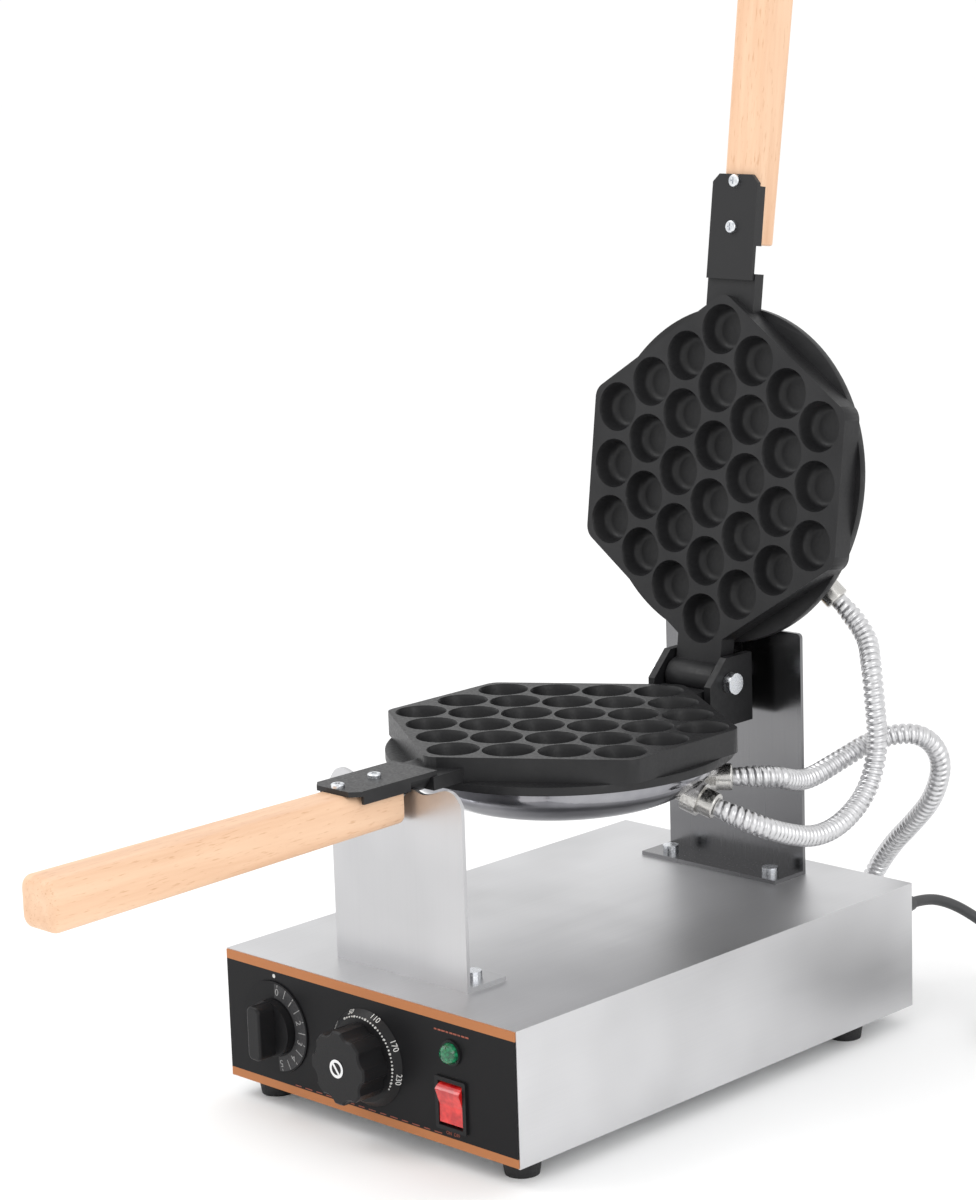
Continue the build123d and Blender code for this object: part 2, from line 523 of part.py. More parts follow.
def controls():
    """Timer, thermostat, lamp and rocker switch, with what each has behind the panel."""
    face = -OVERLAY_T
    back = SEAT + SHEET
    timer = block(TIMER_X - 22, TIMER_X + 22, back, back + 34, TIMER_Z - 24, TIMER_Z + 24)
    timer = fillet(timer.edges().filter_by(Axis.Y), 4)
    timer += rod_y(SPINDLE_D, face - 12, back + 2, TIMER_X, TIMER_Z)
    nodes["timer_body"] = timer
    disc = rod_y(TIMER_DISC_D, face - 1.0, face, TIMER_X, TIMER_Z) - rod_y(9, face - 3, 3, TIMER_X, TIMER_Z)
    nodes["timer_dial"] = disc
    z0 = face - 1.0 - SEAT
    knob = rod_y(TIMER_KNOB_D, z0 - 5, z0, TIMER_X, TIMER_Z)
    grip = Pos(TIMER_X, z0 - 5 - (TIMER_KNOB_H - 5) / 2, TIMER_Z) * Box(11, TIMER_KNOB_H - 5, TIMER_KNOB_D - 1)
    grip = fillet(grip.edges().filter_by(Axis.Y), 4)
    grip = fillet(grip.faces().sort_by(Axis.Y)[0].edges(), 1.5)
    knob += grip
    knob -= rod_y(SPINDLE_D + 0.6, z0 - 12.5, z0 + 1, TIMER_X, TIMER_Z)
    nodes["timer_knob"] = knob
    thermo = block(THERMO_X - 19, THERMO_X + 19, back, back + 30, THERMO_Z - 17, THERMO_Z + 17)
    thermo = fillet(thermo.edges().filter_by(Axis.Y), 3)
    thermo += rod_y(SPINDLE_D, face - 15, back + 2, THERMO_X, THERMO_Z)
    nodes["thermostat_body"] = thermo
    z1 = face - SEAT
    skirt = Pos(THERMO_X, z1 - 2.5, THERMO_Z) * Rot(90, 0, 0) * Cone(THERMO_SKIRT_D / 2, THERMO_SKIRT_D / 2 - 4, 5)
    grip_outline = Circle(THERMO_GRIP_D / 2)
    for lobe in range(8):
        angle = radians(45 * lobe + 22.5)
        scallop_r = 7.5
        place = THERMO_GRIP_D / 2 + scallop_r - 2.4
        grip_outline -= Pos(place * cos(angle), place * sin(angle)) * Circle(scallop_r)
    grip = extrude(grip_outline, THERMO_KNOB_H - 5)
    grip = chamfer(grip.faces().sort_by(Axis.Z)[-1].edges(), 1.0)
    knob = skirt + Pos(THERMO_X, z1 - 5, THERMO_Z) * Rot(90, 0, 0) * grip
    knob -= rod_y(SPINDLE_D + 0.6, z1 - 16, z1 + 1, THERMO_X, THERMO_Z)
    cap_y = z1 - THERMO_KNOB_H
    knob -= rod_y(11.2, cap_y - 1, cap_y + 1.2, THERMO_X, THERMO_Z)
    nodes["thermostat_knob"] = knob
    cap = rod_y(11, cap_y - 0.5, cap_y + 1.2, THERMO_X, THERMO_Z) - rod_y(7, cap_y - 1, cap_y - 0.1, THERMO_X, THERMO_Z)
    nodes["thermostat_cap"] = cap
    bezel = rod_y(LAMP_D + 1.6, face - 1.2, face, LAMP_X, LAMP_Z) + rod_y(LAMP_D - 2, face, back + 16, LAMP_X, LAMP_Z)
    bezel -= rod_y(LAMP_D - 4, face - 3, face + 8, LAMP_X, LAMP_Z)
    nodes["lamp_body"] = bezel
    lens = rod_y(LAMP_D - 4.1, face - 1.2, face + 6, LAMP_X, LAMP_Z)
    crown = Pos(LAMP_X, face - 1.2, LAMP_Z) * Sphere((LAMP_D - 1) / 2)
    lens += crown & block(LAMP_X - 9, LAMP_X + 9, face - 9, face - 1.2, LAMP_Z - 9, LAMP_Z + 9)
    nodes["lamp_lens"] = lens
    w = ROCKER_W / 2 + 1.2
    h = ROCKER_H / 2 + 1.2
    bezel = block(ROCKER_X - w - 1.6, ROCKER_X + w + 1.6, face - 1.6, face, ROCKER_Z - h - 1.6, ROCKER_Z + h + 1.6)
    bezel = fillet(bezel.edges().filter_by(Axis.Y), 1.2)
    bezel += block(ROCKER_X - w, ROCKER_X + w, face, back + 20, ROCKER_Z - h, ROCKER_Z + h)
    well_w = ROCKER_W / 2 + 0.25
    well_h = ROCKER_H / 2 + 0.4
    bezel -= block(ROCKER_X - well_w, ROCKER_X + well_w, face - 5, back + 9, ROCKER_Z - well_h, ROCKER_Z + well_h)
    nodes["switch_body"] = bezel
    pivot_y = face + 5
    reach = 7.2
    points = [(pivot_y - reach - 1.0, -ROCKER_H / 2), (pivot_y - reach + 1.2, 0), (pivot_y - reach - 1.0, ROCKER_H / 2),
              (pivot_y, ROCKER_H / 2), (pivot_y + 3, 0), (pivot_y, -ROCKER_H / 2)]
    shape = make_face(Polyline(*points, close=True))
    rocker = extrude(Plane.YZ * shape, ROCKER_W / 2, both=True)
    limit = Pos(0, pivot_y, 0) * Rot(0, 90, 0) * Cylinder(ROCKER_H / 2 + 0.1, ROCKER_W)
    rocker &= limit
    rocker = Pos(0, pivot_y, 0) * Rot(ROCKER_TILT, 0, 0) * Pos(0, -pivot_y, 0) * rocker
    nodes["rocker"] = Pos(ROCKER_X, 0, ROCKER_Z) * rocker
    nodes["terminal_block"] = terminal_block()


def terminal_block():
    """Ceramic block with six screw ways, fixed to the bottom plate."""
    body = block(20, 92, 250, 274, FOOT_H + SHEET, FOOT_H + SHEET + 18)
    for way in range(6):
        x = 26 + way * 12
        body -= rod_y(6, 240, 280, x, FOOT_H + SHEET + 8)
        body -= rod_z(4.5, FOOT_H + SHEET + 10, FOOT_H + SHEET + 20, x, 262)
    return body


def eased_path(points):
    """Straight runs joined by arcs as large as the runs allow."""
    vectors = [Vector(*p) for p in points]
    radii = []
    for before, here, after in zip(vectors, vectors[1:], vectors[2:]):
        run_in = here - before
        run_out = after - here
        turn = radians(run_in.get_angle(run_out))
        radii.append(0.45 * min(run_in.length, run_out.length) / tan(turn / 2))
    print("bend radii", [round(r, 1) for r in radii])
    return FilletPolyline(*vectors, radius=radii)


def ribbed_hose(start, start_way, route, end, end_way):
    """Ribbed conduit round a smooth bore: four rings to a rib, one straight diameter at each end."""
    lead = 2 * HOSE_D
    path = eased_path([start, start + start_way * lead, *route, end + end_way * lead, end])
    plain = HOSE_D / path.length
    count = round(path.length * (1 - 2 * plain) / HOSE_RIB)
    crest = HOSE_D / 2
    root = crest - HOSE_GROOVE
    rings = [(0.0, root), (plain, root)]
    for rib in range(count):
        for share, r in ((0.15, root), (0.35, crest), (0.65, crest), (0.85, root)):
            rings.append((plain + (1 - 2 * plain) * (rib + share) / count, r))
    rings += [(1 - plain, root), (1.0, root)]
    side = Vector(0, 0, 1).cross(start_way)
    sections = []
    holes = []
    for index, (t, r) in enumerate(rings):
        way = path % t
        side = (side - way * side.dot(way)).normalized()
        plane = Plane(path @ t, x_dir=side, z_dir=way)
        sections.append(plane * Circle(r))
        straight = index < 2 or index > len(rings) - 3
        if straight or index % 4 == 2:
            holes.append(plane * Circle(HOSE_BORE / 2))
    print("hose ribs", count, "length", round(path.length, 1))
    return loft(sections, ruled=True) - loft(holes, ruled=True)


def cord_tube(points, d):
    """Plain round lead along an eased path."""
    path = eased_path(points)
    start = Plane(path @ 0, z_dir=path % 0)
    body = sweep(start * Circle(d / 2), path=path)
    print("cord tube length", round(path.length, 1), "volume over section", round(body.volume / (pi * d * d / 4), 1))
    return body


def coil_path():
    """Half turns that wind inwards, climb in one tilted half turn and wind outwards again."""
    pitch = CORD_D + COIL_GAP
    z = CORD_D / 2
    here = Vector(COIL_X, COIL_Y + COIL_R, z)
    r = COIL_R
    down = True
    edges = []
    steps = []
    for half in range(2 * COIL_TURNS):
        steps.append((r, 0.0))
        r -= pitch / 2
    steps.append((r, pitch))
    for half in range(2 * COIL_TURNS - 1):
        r += pitch / 2
        steps.append((r, 0.0))
    for radius, climb in steps:
        way = -1 if down else 1
        reach = sqrt((2 * radius) ** 2 - climb ** 2) if climb else 2 * radius
        end = here + Vector(0, way * reach, climb)
        middle = (here + end) * 0.5
        bulge = middle + Vector(radius if down else -radius, 0, 0)
        edges.append(ThreePointArc(here, bulge, end))
        here = end
        down = not down
    heading = Vector(1, 0, 0) if down else Vector(-1, 0, 0)
    edges.append(Line(here, here + heading * COIL_TAIL))
    return edges, here + heading * COIL_TAIL, heading


def least_gap(wire, d):
    """Smallest clear space between one stretch of the winding and any other."""
    samples = int(wire.length / 3)
    points = [wire @ (i / samples) for i in range(samples + 1)]
    skip = int(4 * d / (wire.length / samples))
    least = 1e9
    for i in range(0, len(points), 2):
        for j in range(i + skip, len(points)):
            least = min(least, (points[i] - points[j]).length)
    return least - d


def mains_lead():
    """Strain relief, lead along its route, wound coil and plug."""
    relief = Pos(CORD_X, BOX_L + 3, CORD_Z) * Rot(-90, 0, 0) * Cone(7.5, CORD_D / 2 + 1.2, RELIEF_L - 3, align=FROM_BOTTOM)
    relief += rod_y(18, BOX_L, BOX_L + 3, CORD_X, CORD_Z)
    relief += rod_y(12, BOX_L - 8, BOX_L, CORD_X, CORD_Z)
    for groove in range(3):
        y = BOX_L + 8 + groove * 5
        relief -= rod_y(20, y, y + 1.6, CORD_X, CORD_Z) - rod_y(2 * (CORD_D / 2 + 1.2), y - 1, y + 3, CORD_X, CORD_Z)
    relief -= rod_y(CORD_D + 0.1, BOX_L + RELIEF_L - 6, BOX_L + RELIEF_L + 1, CORD_X, CORD_Z)
    nodes["strain_relief"] = relief
    start_y = BOX_L + RELIEF_L - 6
    route = [
        (CORD_X, start_y, CORD_Z),
        (CORD_X, start_y + 20, CORD_Z),
        (CORD_X + 7, start_y + 38, CORD_Z - 6),
        (CORD_X + 19, start_y + 52, CORD_Z - 18),
        (CORD_X + 35, start_y + 61, CORD_Z - 33),
        (CORD_X + 53, start_y + 66, CORD_Z - 48),
        (CORD_X + 72, start_y + 68, CORD_Z - 59),
        (CORD_X + 92, COIL_Y + COIL_R, CORD_D / 2),
        (COIL_X, COIL_Y + COIL_R, CORD_D / 2),
    ]
    nodes["mains_cord"] = cord_tube(route, CORD_D)
    edges, tail, heading = coil_path()
    wire = Wire(edges)
    start = Plane(wire @ 0, z_dir=wire % 0)
    coil = sweep(start * Circle(CORD_D / 2), path=wire)
    print("coil length", round(wire.length, 1), "least gap", round(least_gap(wire, CORD_D), 2))
    nodes["mains_coil"] = coil
    z = tail.Z
    way = heading.X
    plug = Box(34, 25, 2 * z - 0.2)
    plug = fillet(plug.edges().filter_by(Axis.X), 4)
    plug = Pos(tail.X + way * (17 + 12), tail.Y, z) * plug
    sleeve = rod_x(CORD_D + 5, min(tail.X, tail.X + way * 13), max(tail.X, tail.X + way * 13), tail.Y, z)
    plug += sleeve
    front = tail.X + way * 46
    for y in (-6.35, 6.35):
        plug += Pos(front + way * 8.5, tail.Y + y, z + 2) * Box(17, 1.5, 6.3)
    plug += rod_x(4.8, min(front, front + way * 19), max(front, front + way * 19), tail.Y, z - 5)
    nodes["mains_plug"] = plug


def gland_mouth(place, fitting):
    """Where a conduit leaves a pan's gland, and which way it points."""
    root = place(gland_frame(*fitting) * Pos(0, 0, GLAND_LENGTH)).position
    tip = place(gland_frame(*fitting) * Pos(0, 0, 2 * GLAND_LENGTH)).position
    return root, (tip - root).normalized()


def conduits():
    """Ribbed conduits: lower pan to lid, and lower pan to the box, with the gland on the box."""
    start, way = gland_mouth(lower_place, LID_HOSE_GLAND)
    end, end_way = gland_mouth(lid_place, UPPER_GLAND)
    route = [
        (117, 240, AXIS_Z - 68),
        (114, 270, AXIS_Z - 77),
        (111, 300, AXIS_Z - 76),
        (110, 327, AXIS_Z - 62),
        (110, 338, AXIS_Z - 36),
        (110, 335, AXIS_Z - 8),
        (106, 337, AXIS_Z + 15),
    ]
    nodes["lid_hose"] = ribbed_hose(start, way, route, end, end_way)
    print("lid hose start", start, way, "end", end, end_way)
    start, way = gland_mouth(lower_place, BASE_HOSE_GLAND)
    fitting = Pos(HOSE_GLAND_X, BOX_L, HOSE_GLAND_Z) * Rot(-90, 0, 0) * hexagon_nut(GLAND_AF, 8)
    fitting += rod_y(HOSE_D + 3.2, BOX_L + 8, BOX_L + 18, HOSE_GLAND_X, HOSE_GLAND_Z)
    fitting += rod_y(15, BOX_L - 8, BOX_L, HOSE_GLAND_X, HOSE_GLAND_Z)
    fitting -= rod_y(HOSE_BORE, BOX_L - 10, BOX_L + 30, HOSE_GLAND_X, HOSE_GLAND_Z)
    nodes["base_gland"] = fitting
    route = [
        (91, 275, AXIS_Z - 46),
        (85, 300, AXIS_Z - 52),
        (87, 325, AXIS_Z - 46),
        (99, 352, AXIS_Z - 33),
        (118, 372, AXIS_Z - 31),
        (122, 389, AXIS_Z - 51),
        (110, 396, AXIS_Z - 79),
        (88, 404, AXIS_Z - 101),
        (64, 412, AXIS_Z - 122),
        (45, 418, AXIS_Z - 145),
    ]
    end = Vector(HOSE_GLAND_X, BOX_L + 18, HOSE_GLAND_Z)
    nodes["base_hose"] = ribbed_hose(start, way, route, end, Vector(0, 1, 0))
    print("base hose start", start, way, "end", end)


pans()
hinge()
bolt_places = cradle() + upright()
box_body(bolt_places)
controls()
conduits()
mains_lead()

low = 1e9
high = -1e9
for name, shape in nodes.items():
    if name not in cord_names:
        bounds = shape.bounding_box()
        low = min(low, bounds.min.Y)
        high = max(high, bounds.max.Y)
shift = -(low + high) / 2
print("shift along y", round(shift, 4), "axis z", AXIS_Z, "hinge y", round(HINGE_Y + shift, 4), "z", AXIS_Z + HINGE_RISE)
os.makedirs("parts", exist_ok=True)
for name, shape in nodes.items():
    export_step(Pos(0, shift, 0) * shape, "parts/" + name + ".step")
print(len(nodes), "nodes")
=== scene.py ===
"""The looks of the rotating double waffle maker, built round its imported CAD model.

Everything is in metres and in the frame of the CAD model. The sections follow the machine as it
is put together, from the studio floor and the control box up to the pans, conduits and lead.
"""
import json
from math import cos, pi, radians, sin

import bmesh
import bpy
from mathutils import Matrix, Vector


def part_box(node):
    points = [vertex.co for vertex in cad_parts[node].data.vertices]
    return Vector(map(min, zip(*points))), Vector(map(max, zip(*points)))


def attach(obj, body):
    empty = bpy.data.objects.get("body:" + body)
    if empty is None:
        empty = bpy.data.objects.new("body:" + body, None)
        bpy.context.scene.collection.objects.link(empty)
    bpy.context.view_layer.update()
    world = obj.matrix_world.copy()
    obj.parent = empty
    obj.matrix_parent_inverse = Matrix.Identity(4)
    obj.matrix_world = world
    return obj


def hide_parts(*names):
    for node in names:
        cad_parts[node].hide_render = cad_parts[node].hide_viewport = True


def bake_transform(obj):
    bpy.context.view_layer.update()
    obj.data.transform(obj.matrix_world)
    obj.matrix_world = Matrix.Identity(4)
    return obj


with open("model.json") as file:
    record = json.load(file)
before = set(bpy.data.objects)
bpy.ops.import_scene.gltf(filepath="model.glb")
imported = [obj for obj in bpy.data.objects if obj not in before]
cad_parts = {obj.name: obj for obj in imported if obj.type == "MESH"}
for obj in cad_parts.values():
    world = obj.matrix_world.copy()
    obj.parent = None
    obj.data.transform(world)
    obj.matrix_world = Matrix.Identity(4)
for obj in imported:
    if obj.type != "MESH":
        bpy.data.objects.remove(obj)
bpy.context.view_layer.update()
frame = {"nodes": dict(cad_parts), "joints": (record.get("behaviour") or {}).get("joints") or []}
nodes = frame["nodes"]

# Studio. A pale floor under a white surround, one large soft light from the upper left and a
# fill from the right. The camera stands at the right front corner, a little above the pans.
scene = bpy.context.scene
scene.view_settings.view_transform = "Standard"

FLOOR_SIZE = 12.0
FLOOR_WHITE = 0.985
SURROUND_STRENGTH = 1.03
floor_mesh = bpy.data.meshes.new("studio_floor")
floor_shape = bmesh.new()
bmesh.ops.create_grid(floor_shape, x_segments=1, y_segments=1, size=FLOOR_SIZE)
floor_shape.to_mesh(floor_mesh)
floor = bpy.data.objects.new("studio_floor", floor_mesh)
scene.collection.objects.link(floor)
floor_paint = bpy.data.materials.new("floor_paint")
floor_paint.use_nodes = True
floor_shader = floor_paint.node_tree.nodes["Principled BSDF"]
floor_shader.inputs["Base Color"].default_value = (FLOOR_WHITE, FLOOR_WHITE, FLOOR_WHITE, 1)
floor_shader.inputs["Roughness"].default_value = 0.9
floor_shader.inputs["Specular IOR Level"].default_value = 0.1
floor_mesh.materials.append(floor_paint)

surround = bpy.data.worlds.new("white_surround")
surround.use_nodes = True
surround.node_tree.nodes["Background"].inputs["Color"].default_value = (1.0, 1.0, 1.0, 1)
surround.node_tree.nodes["Background"].inputs["Strength"].default_value = SURROUND_STRENGTH
scene.world = surround


def soft_light(name, place, aim, size, watts):
    """A square area light that looks at a point."""
    lamp = bpy.data.lights.new(name, "AREA")
    lamp.shape = "SQUARE"
    lamp.size = size
    lamp.energy = watts
    holder = bpy.data.objects.new(name, lamp)
    holder.location = place
    holder.rotation_euler = (Vector(aim) - Vector(place)).to_track_quat("-Z", "Y").to_euler()
    scene.collection.objects.link(holder)


LIT_POINT = (0, 0.05, 0.15)
KEY_WATTS = 14
FILL_WATTS = 10
soft_light("key_light", (-1.2, -1.0, 2.0), LIT_POINT, 1.2, KEY_WATTS)
soft_light("fill_light", (2.2, -0.4, 1.1), LIT_POINT, 1.4, FILL_WATTS)

CAMERA_PLACE = Vector((1.27012, -1.26203, 0.668))
CAMERA_YAW = radians(44.67)
CAMERA_PITCH = radians(11.51)
CAMERA_ROLL = radians(-1.9)
CAMERA_LENS = 94.71
ahead = Vector((-sin(CAMERA_YAW) * cos(CAMERA_PITCH), cos(CAMERA_YAW) * cos(CAMERA_PITCH),
                -sin(CAMERA_PITCH)))
right = Vector((cos(CAMERA_YAW), sin(CAMERA_YAW), 0))
up = right.cross(ahead)
rolled_right = right * cos(CAMERA_ROLL) + up * sin(CAMERA_ROLL)
rolled_up = up * cos(CAMERA_ROLL) - right * sin(CAMERA_ROLL)
view_axes = Matrix((rolled_right, rolled_up, -ahead)).transposed().to_4x4()
lens = bpy.data.cameras.new("photo_camera")
lens.lens = CAMERA_LENS
lens.sensor_width = 36.0
camera = bpy.data.objects.new("photo_camera", lens)
camera.matrix_world = Matrix.Translation(CAMERA_PLACE) @ view_axes
scene.collection.objects.link(camera)
scene.camera = camera

# Base cover. One sheet of stainless steel folded over the top and both sides, brushed along its
# length; the rear panel, the plate behind the controls and the front cradle are the same sheet.


def finish(name, colour, roughness, metallic=0.0, **constants):
    """A named finish: colour and gloss set on the shader itself."""
    stuff = bpy.data.materials.new(name)
    stuff.use_nodes = True
    shader = stuff.node_tree.nodes["Principled BSDF"]
    shader.inputs["Base Color"].default_value = (*colour, 1)
    shader.inputs["Roughness"].default_value = roughness
    shader.inputs["Metallic"].default_value = metallic
    for label, value in constants.items():
        shader.inputs[label.replace("_", " ")].default_value = value
    return stuff


def shader_of(stuff):
    """The surface shader of a finish."""
    return stuff.node_tree.nodes["Principled BSDF"]


def place_on(stuff, centre=(0, 0, 0), turn=(0, 0, 0)):
    """Coordinates fixed to the piece in metres, seen from a centre and an orientation of its own."""
    tree = stuff.node_tree
    source = tree.nodes.new("ShaderNodeTexCoord")
    local = tree.nodes.new("ShaderNodeMapping")
    local.vector_type = "TEXTURE"
    local.inputs["Location"].default_value = centre
    local.inputs["Rotation"].default_value = turn
    tree.links.new(source.outputs["Object"], local.inputs["Vector"])
    return local.outputs["Vector"]


def grain(stuff, where, stretch, detail=3.0, roughness=0.55):
    """Noise with its own number of marks a metre along each axis, from 0 to 1."""
    tree = stuff.node_tree
    scale = tree.nodes.new("ShaderNodeMapping")
    scale.inputs["Scale"].default_value = stretch
    noise = tree.nodes.new("ShaderNodeTexNoise")
    noise.inputs["Scale"].default_value = 1.0
    noise.inputs["Detail"].default_value = detail
    noise.inputs["Roughness"].default_value = roughness
    tree.links.new(where, scale.inputs["Vector"])
    tree.links.new(scale.outputs["Vector"], noise.inputs["Vector"])
    return noise.outputs["Fac"]


def tint(stuff, amount, stops):
    """Colours along a value: stops are (value, colour)."""
    tree = stuff.node_tree
    ramp = tree.nodes.new("ShaderNodeValToRGB")
    marks = ramp.color_ramp.elements
    while len(marks) < len(stops):
        marks.new(0.5)
    for mark, (value, colour) in zip(marks, stops):
        mark.position = value
        mark.color = (*colour, 1)
    tree.links.new(amount, ramp.inputs["Fac"])
    return ramp.outputs["Color"]


def span(stuff, amount, low, high, from_low=0.3, from_high=0.7):
    """A value brought into a range, such as a roughness."""
    tree = stuff.node_tree
    scale = tree.nodes.new("ShaderNodeMapRange")
    scale.inputs["From Min"].default_value = from_low
    scale.inputs["From Max"].default_value = from_high
    scale.inputs["To Min"].default_value = low
    scale.inputs["To Max"].default_value = high
    tree.links.new(amount, scale.inputs["Value"])
    return scale.outputs["Result"]


def relief(stuff, amount, depth):
    """Fine bumps of a depth in metres."""
    tree = stuff.node_tree
    bump = tree.nodes.new("ShaderNodeBump")
    bump.inputs["Strength"].default_value = 1.0
    bump.inputs["Distance"].default_value = depth
    tree.links.new(amount, bump.inputs["Height"])
    tree.links.new(bump.outputs["Normal"], shader_of(stuff).inputs["Normal"])


def feed(stuff, socket, value):
    """Joins a colour or value to a socket of the shader."""
    stuff.node_tree.links.new(value, shader_of(stuff).inputs[socket])


def dress(stuff, *names):
    """Gives CAD pieces a finish."""
    for name in names:
        mesh = nodes[name].data
        mesh.materials.clear()
        mesh.materials.append(stuff)


def add_piece(name, data, stuff, body, place=Matrix()):
    """Puts a new mesh or text in the scene, finished, riding on a body and named to its slot."""
    data.materials.append(stuff)
    piece = bpy.data.objects.new(name, data)
    scene.collection.objects.link(piece)
    piece.matrix_world = place
    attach(piece, body)
    return piece


def mesh_of(name, shape):
    """The mesh of a bmesh shape."""
    mesh = bpy.data.meshes.new(name)
    shape.to_mesh(mesh)
    return mesh


def brushed_steel(name, colour, marks, rough_low, rough_high):
    """Stainless sheet with fine straight brush marks and a faint cloudiness."""
    stuff = finish(name, colour, 0.3, 1.0)
    where = place_on(stuff)
    brush = grain(stuff, where, marks, 4.0)
    cloud = grain(stuff, where, (9, 9, 9), 2.0)
    light = tuple(min(1.0, c * 1.05) for c in colour)
    dark = tuple(c * 0.9 for c in colour)
    feed(stuff, "Base Color", tint(stuff, cloud, ((0.35, dark), (0.65, light))))
    feed(stuff, "Roughness", span(stuff, brush, rough_low, rough_high))
    relief(stuff, brush, 0.000008)
    return stuff


cover_steel = brushed_steel("cover_steel", (0.66, 0.66, 0.67), (1400, 5, 1400), 0.38, 0.48)
dress(cover_steel, "base_cover", "front_plate")
rear_steel = brushed_steel("rear_steel", (0.64, 0.64, 0.65), (5, 1400, 1400), 0.28, 0.38)
dress(rear_steel, "rear_panel")

# Bottom plate, feet and their screws. Galvanised sheet with its crystal pattern and vent slots,
# on four moulded rubber feet, each held by a zinc plated screw.
zinc_sheet = finish("zinc_sheet", (0.60, 0.61, 0.62), 0.4, 1.0)
crystals = zinc_sheet.node_tree.nodes.new("ShaderNodeTexVoronoi")
crystals.inputs["Scale"].default_value = 110.0
zinc_sheet.node_tree.links.new(place_on(zinc_sheet), crystals.inputs["Vector"])
feed(zinc_sheet, "Base Color", tint(zinc_sheet, crystals.outputs["Color"],
                                    ((0.2, (0.46, 0.47, 0.48)), (0.8, (0.72, 0.73, 0.74)))))
feed(zinc_sheet, "Roughness", span(zinc_sheet, crystals.outputs["Distance"], 0.3, 0.5, 0.0, 0.6))
dress(zinc_sheet, "bottom_plate")

foot_rubber = finish("foot_rubber", (0.014, 0.014, 0.015), 0.7)
rubber_skin = grain(foot_rubber, place_on(foot_rubber), (700, 700, 700), 4.0)
feed(foot_rubber, "Roughness", span(foot_rubber, rubber_skin, 0.6, 0.85))
relief(foot_rubber, rubber_skin, 0.00006)
dress(foot_rubber, "rubber_feet")

zinc_plating = finish("zinc_plating", (0.72, 0.74, 0.77), 0.25, 1.0)
plating = grain(zinc_plating, place_on(zinc_plating), (420, 420, 420), 3.0)
feed(zinc_plating, "Base Color", tint(zinc_plating, plating,
                                      ((0.35, (0.60, 0.62, 0.66)), (0.65, (0.82, 0.84, 0.86)))))
feed(zinc_plating, "Roughness", span(zinc_plating, plating, 0.16, 0.38))
dress(zinc_plating, "foot_screws", "cradle_bolts", "upright_bolts", "hinge_bracket_screws",
      "lower_handle_screws", "upper_handle_screws", "hinge_bolt", "hinge_nut", "shaft_nut", "shaft_washer")

# Front panel. A printed overlay over the steel front: satin black between two copper coloured
# bands, with small generic marks over the lamp and under the switch.
panel_low, panel_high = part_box("front_panel")
BAND_H = 0.0056
LOW_BAND_H = 0.0050
PANEL_H = panel_high.z - panel_low.z
panel_print = finish("panel_print", (0.012, 0.012, 0.013), 0.36, Specular_IOR_Level=0.12)
where = place_on(panel_print, (0, 0, panel_low.z))
height_of = panel_print.node_tree.nodes.new("ShaderNodeSeparateXYZ")
panel_print.node_tree.links.new(where, height_of.inputs["Vector"])
share = span(panel_print, height_of.outputs["Z"], 0.0, 1.0, 0.0, PANEL_H)
COPPER = (0.46, 0.185, 0.075)
BLACK = (0.0115, 0.0115, 0.0125)
bands = tint(panel_print, share, (
    (0.0, COPPER),
    (LOW_BAND_H / PANEL_H, BLACK),
    (1 - BAND_H / PANEL_H, COPPER)))
panel_print.node_tree.nodes[bands.node.name].color_ramp.interpolation = "CONSTANT"
feed(panel_print, "Base Color", bands)
panel_skin = grain(panel_print, where, (900, 900, 900), 3.0)
feed(panel_print, "Roughness", span(panel_print, panel_skin, 0.30, 0.44))
relief(panel_print, panel_skin, 0.00002)
dress(panel_print, "front_panel")
PANEL_FACE = panel_low.y


def ink(name, thin, full, marks=900, **constants):
    """Screen printing ink that covers unevenly, from a thin tone to a full one."""
    stuff = finish(name, full, 0.5, 0.0, **constants)
    cover = grain(stuff, place_on(stuff), (marks, marks, marks))
    feed(stuff, "Base Color", tint(stuff, cover, ((0.3, thin), (0.6, full))))
    return stuff


print_white = ink("print_white", (0.50, 0.50, 0.49), (0.70, 0.70, 0.68))
print_red = ink("print_red", (0.20, 0.045, 0.025), (0.36, 0.09, 0.05))
INK = 0.00012
FACING_FRONT = Matrix.Rotation(pi / 2, 4, "X")


def figures(name, words, size):
    """Printed figures as thick as the ink, about their own middle."""
    text = bpy.data.curves.new(name, "FONT")
    text.body = words
    text.size = size
    text.align_x = "CENTER"
    text.align_y = "CENTER"
    text.extrude = INK / 2
    return text


def lettering(name, words, x, z, face_y, size, turn, stuff, body):
    """Printed figures on a face that looks to the front, turned clockwise as seen from there."""
    place = Matrix.Translation((x, face_y - INK / 2, z)) @ Matrix.Rotation(radians(turn), 4, "Y")
    add_piece(name, figures(name, words, size), stuff, body, place @ FACING_FRONT)


def printed_marks(name, marks, face_y, stuff, body):
    """Flat printed strokes: each has its centre, length, width and angle from upright, clockwise."""
    shape = bmesh.new()
    for x, z, long, wide, turn in marks:
        stroke = bmesh.ops.create_cube(shape, size=1.0)
        place = (Matrix.Translation((x, face_y - INK / 2, z)) @ Matrix.Rotation(radians(turn), 4, "Y")
                 @ Matrix.Diagonal((wide, INK, long, 1)))
        bmesh.ops.transform(shape, matrix=place, verts=stroke["verts"])
    add_piece(name, mesh_of(name, shape), stuff, body)


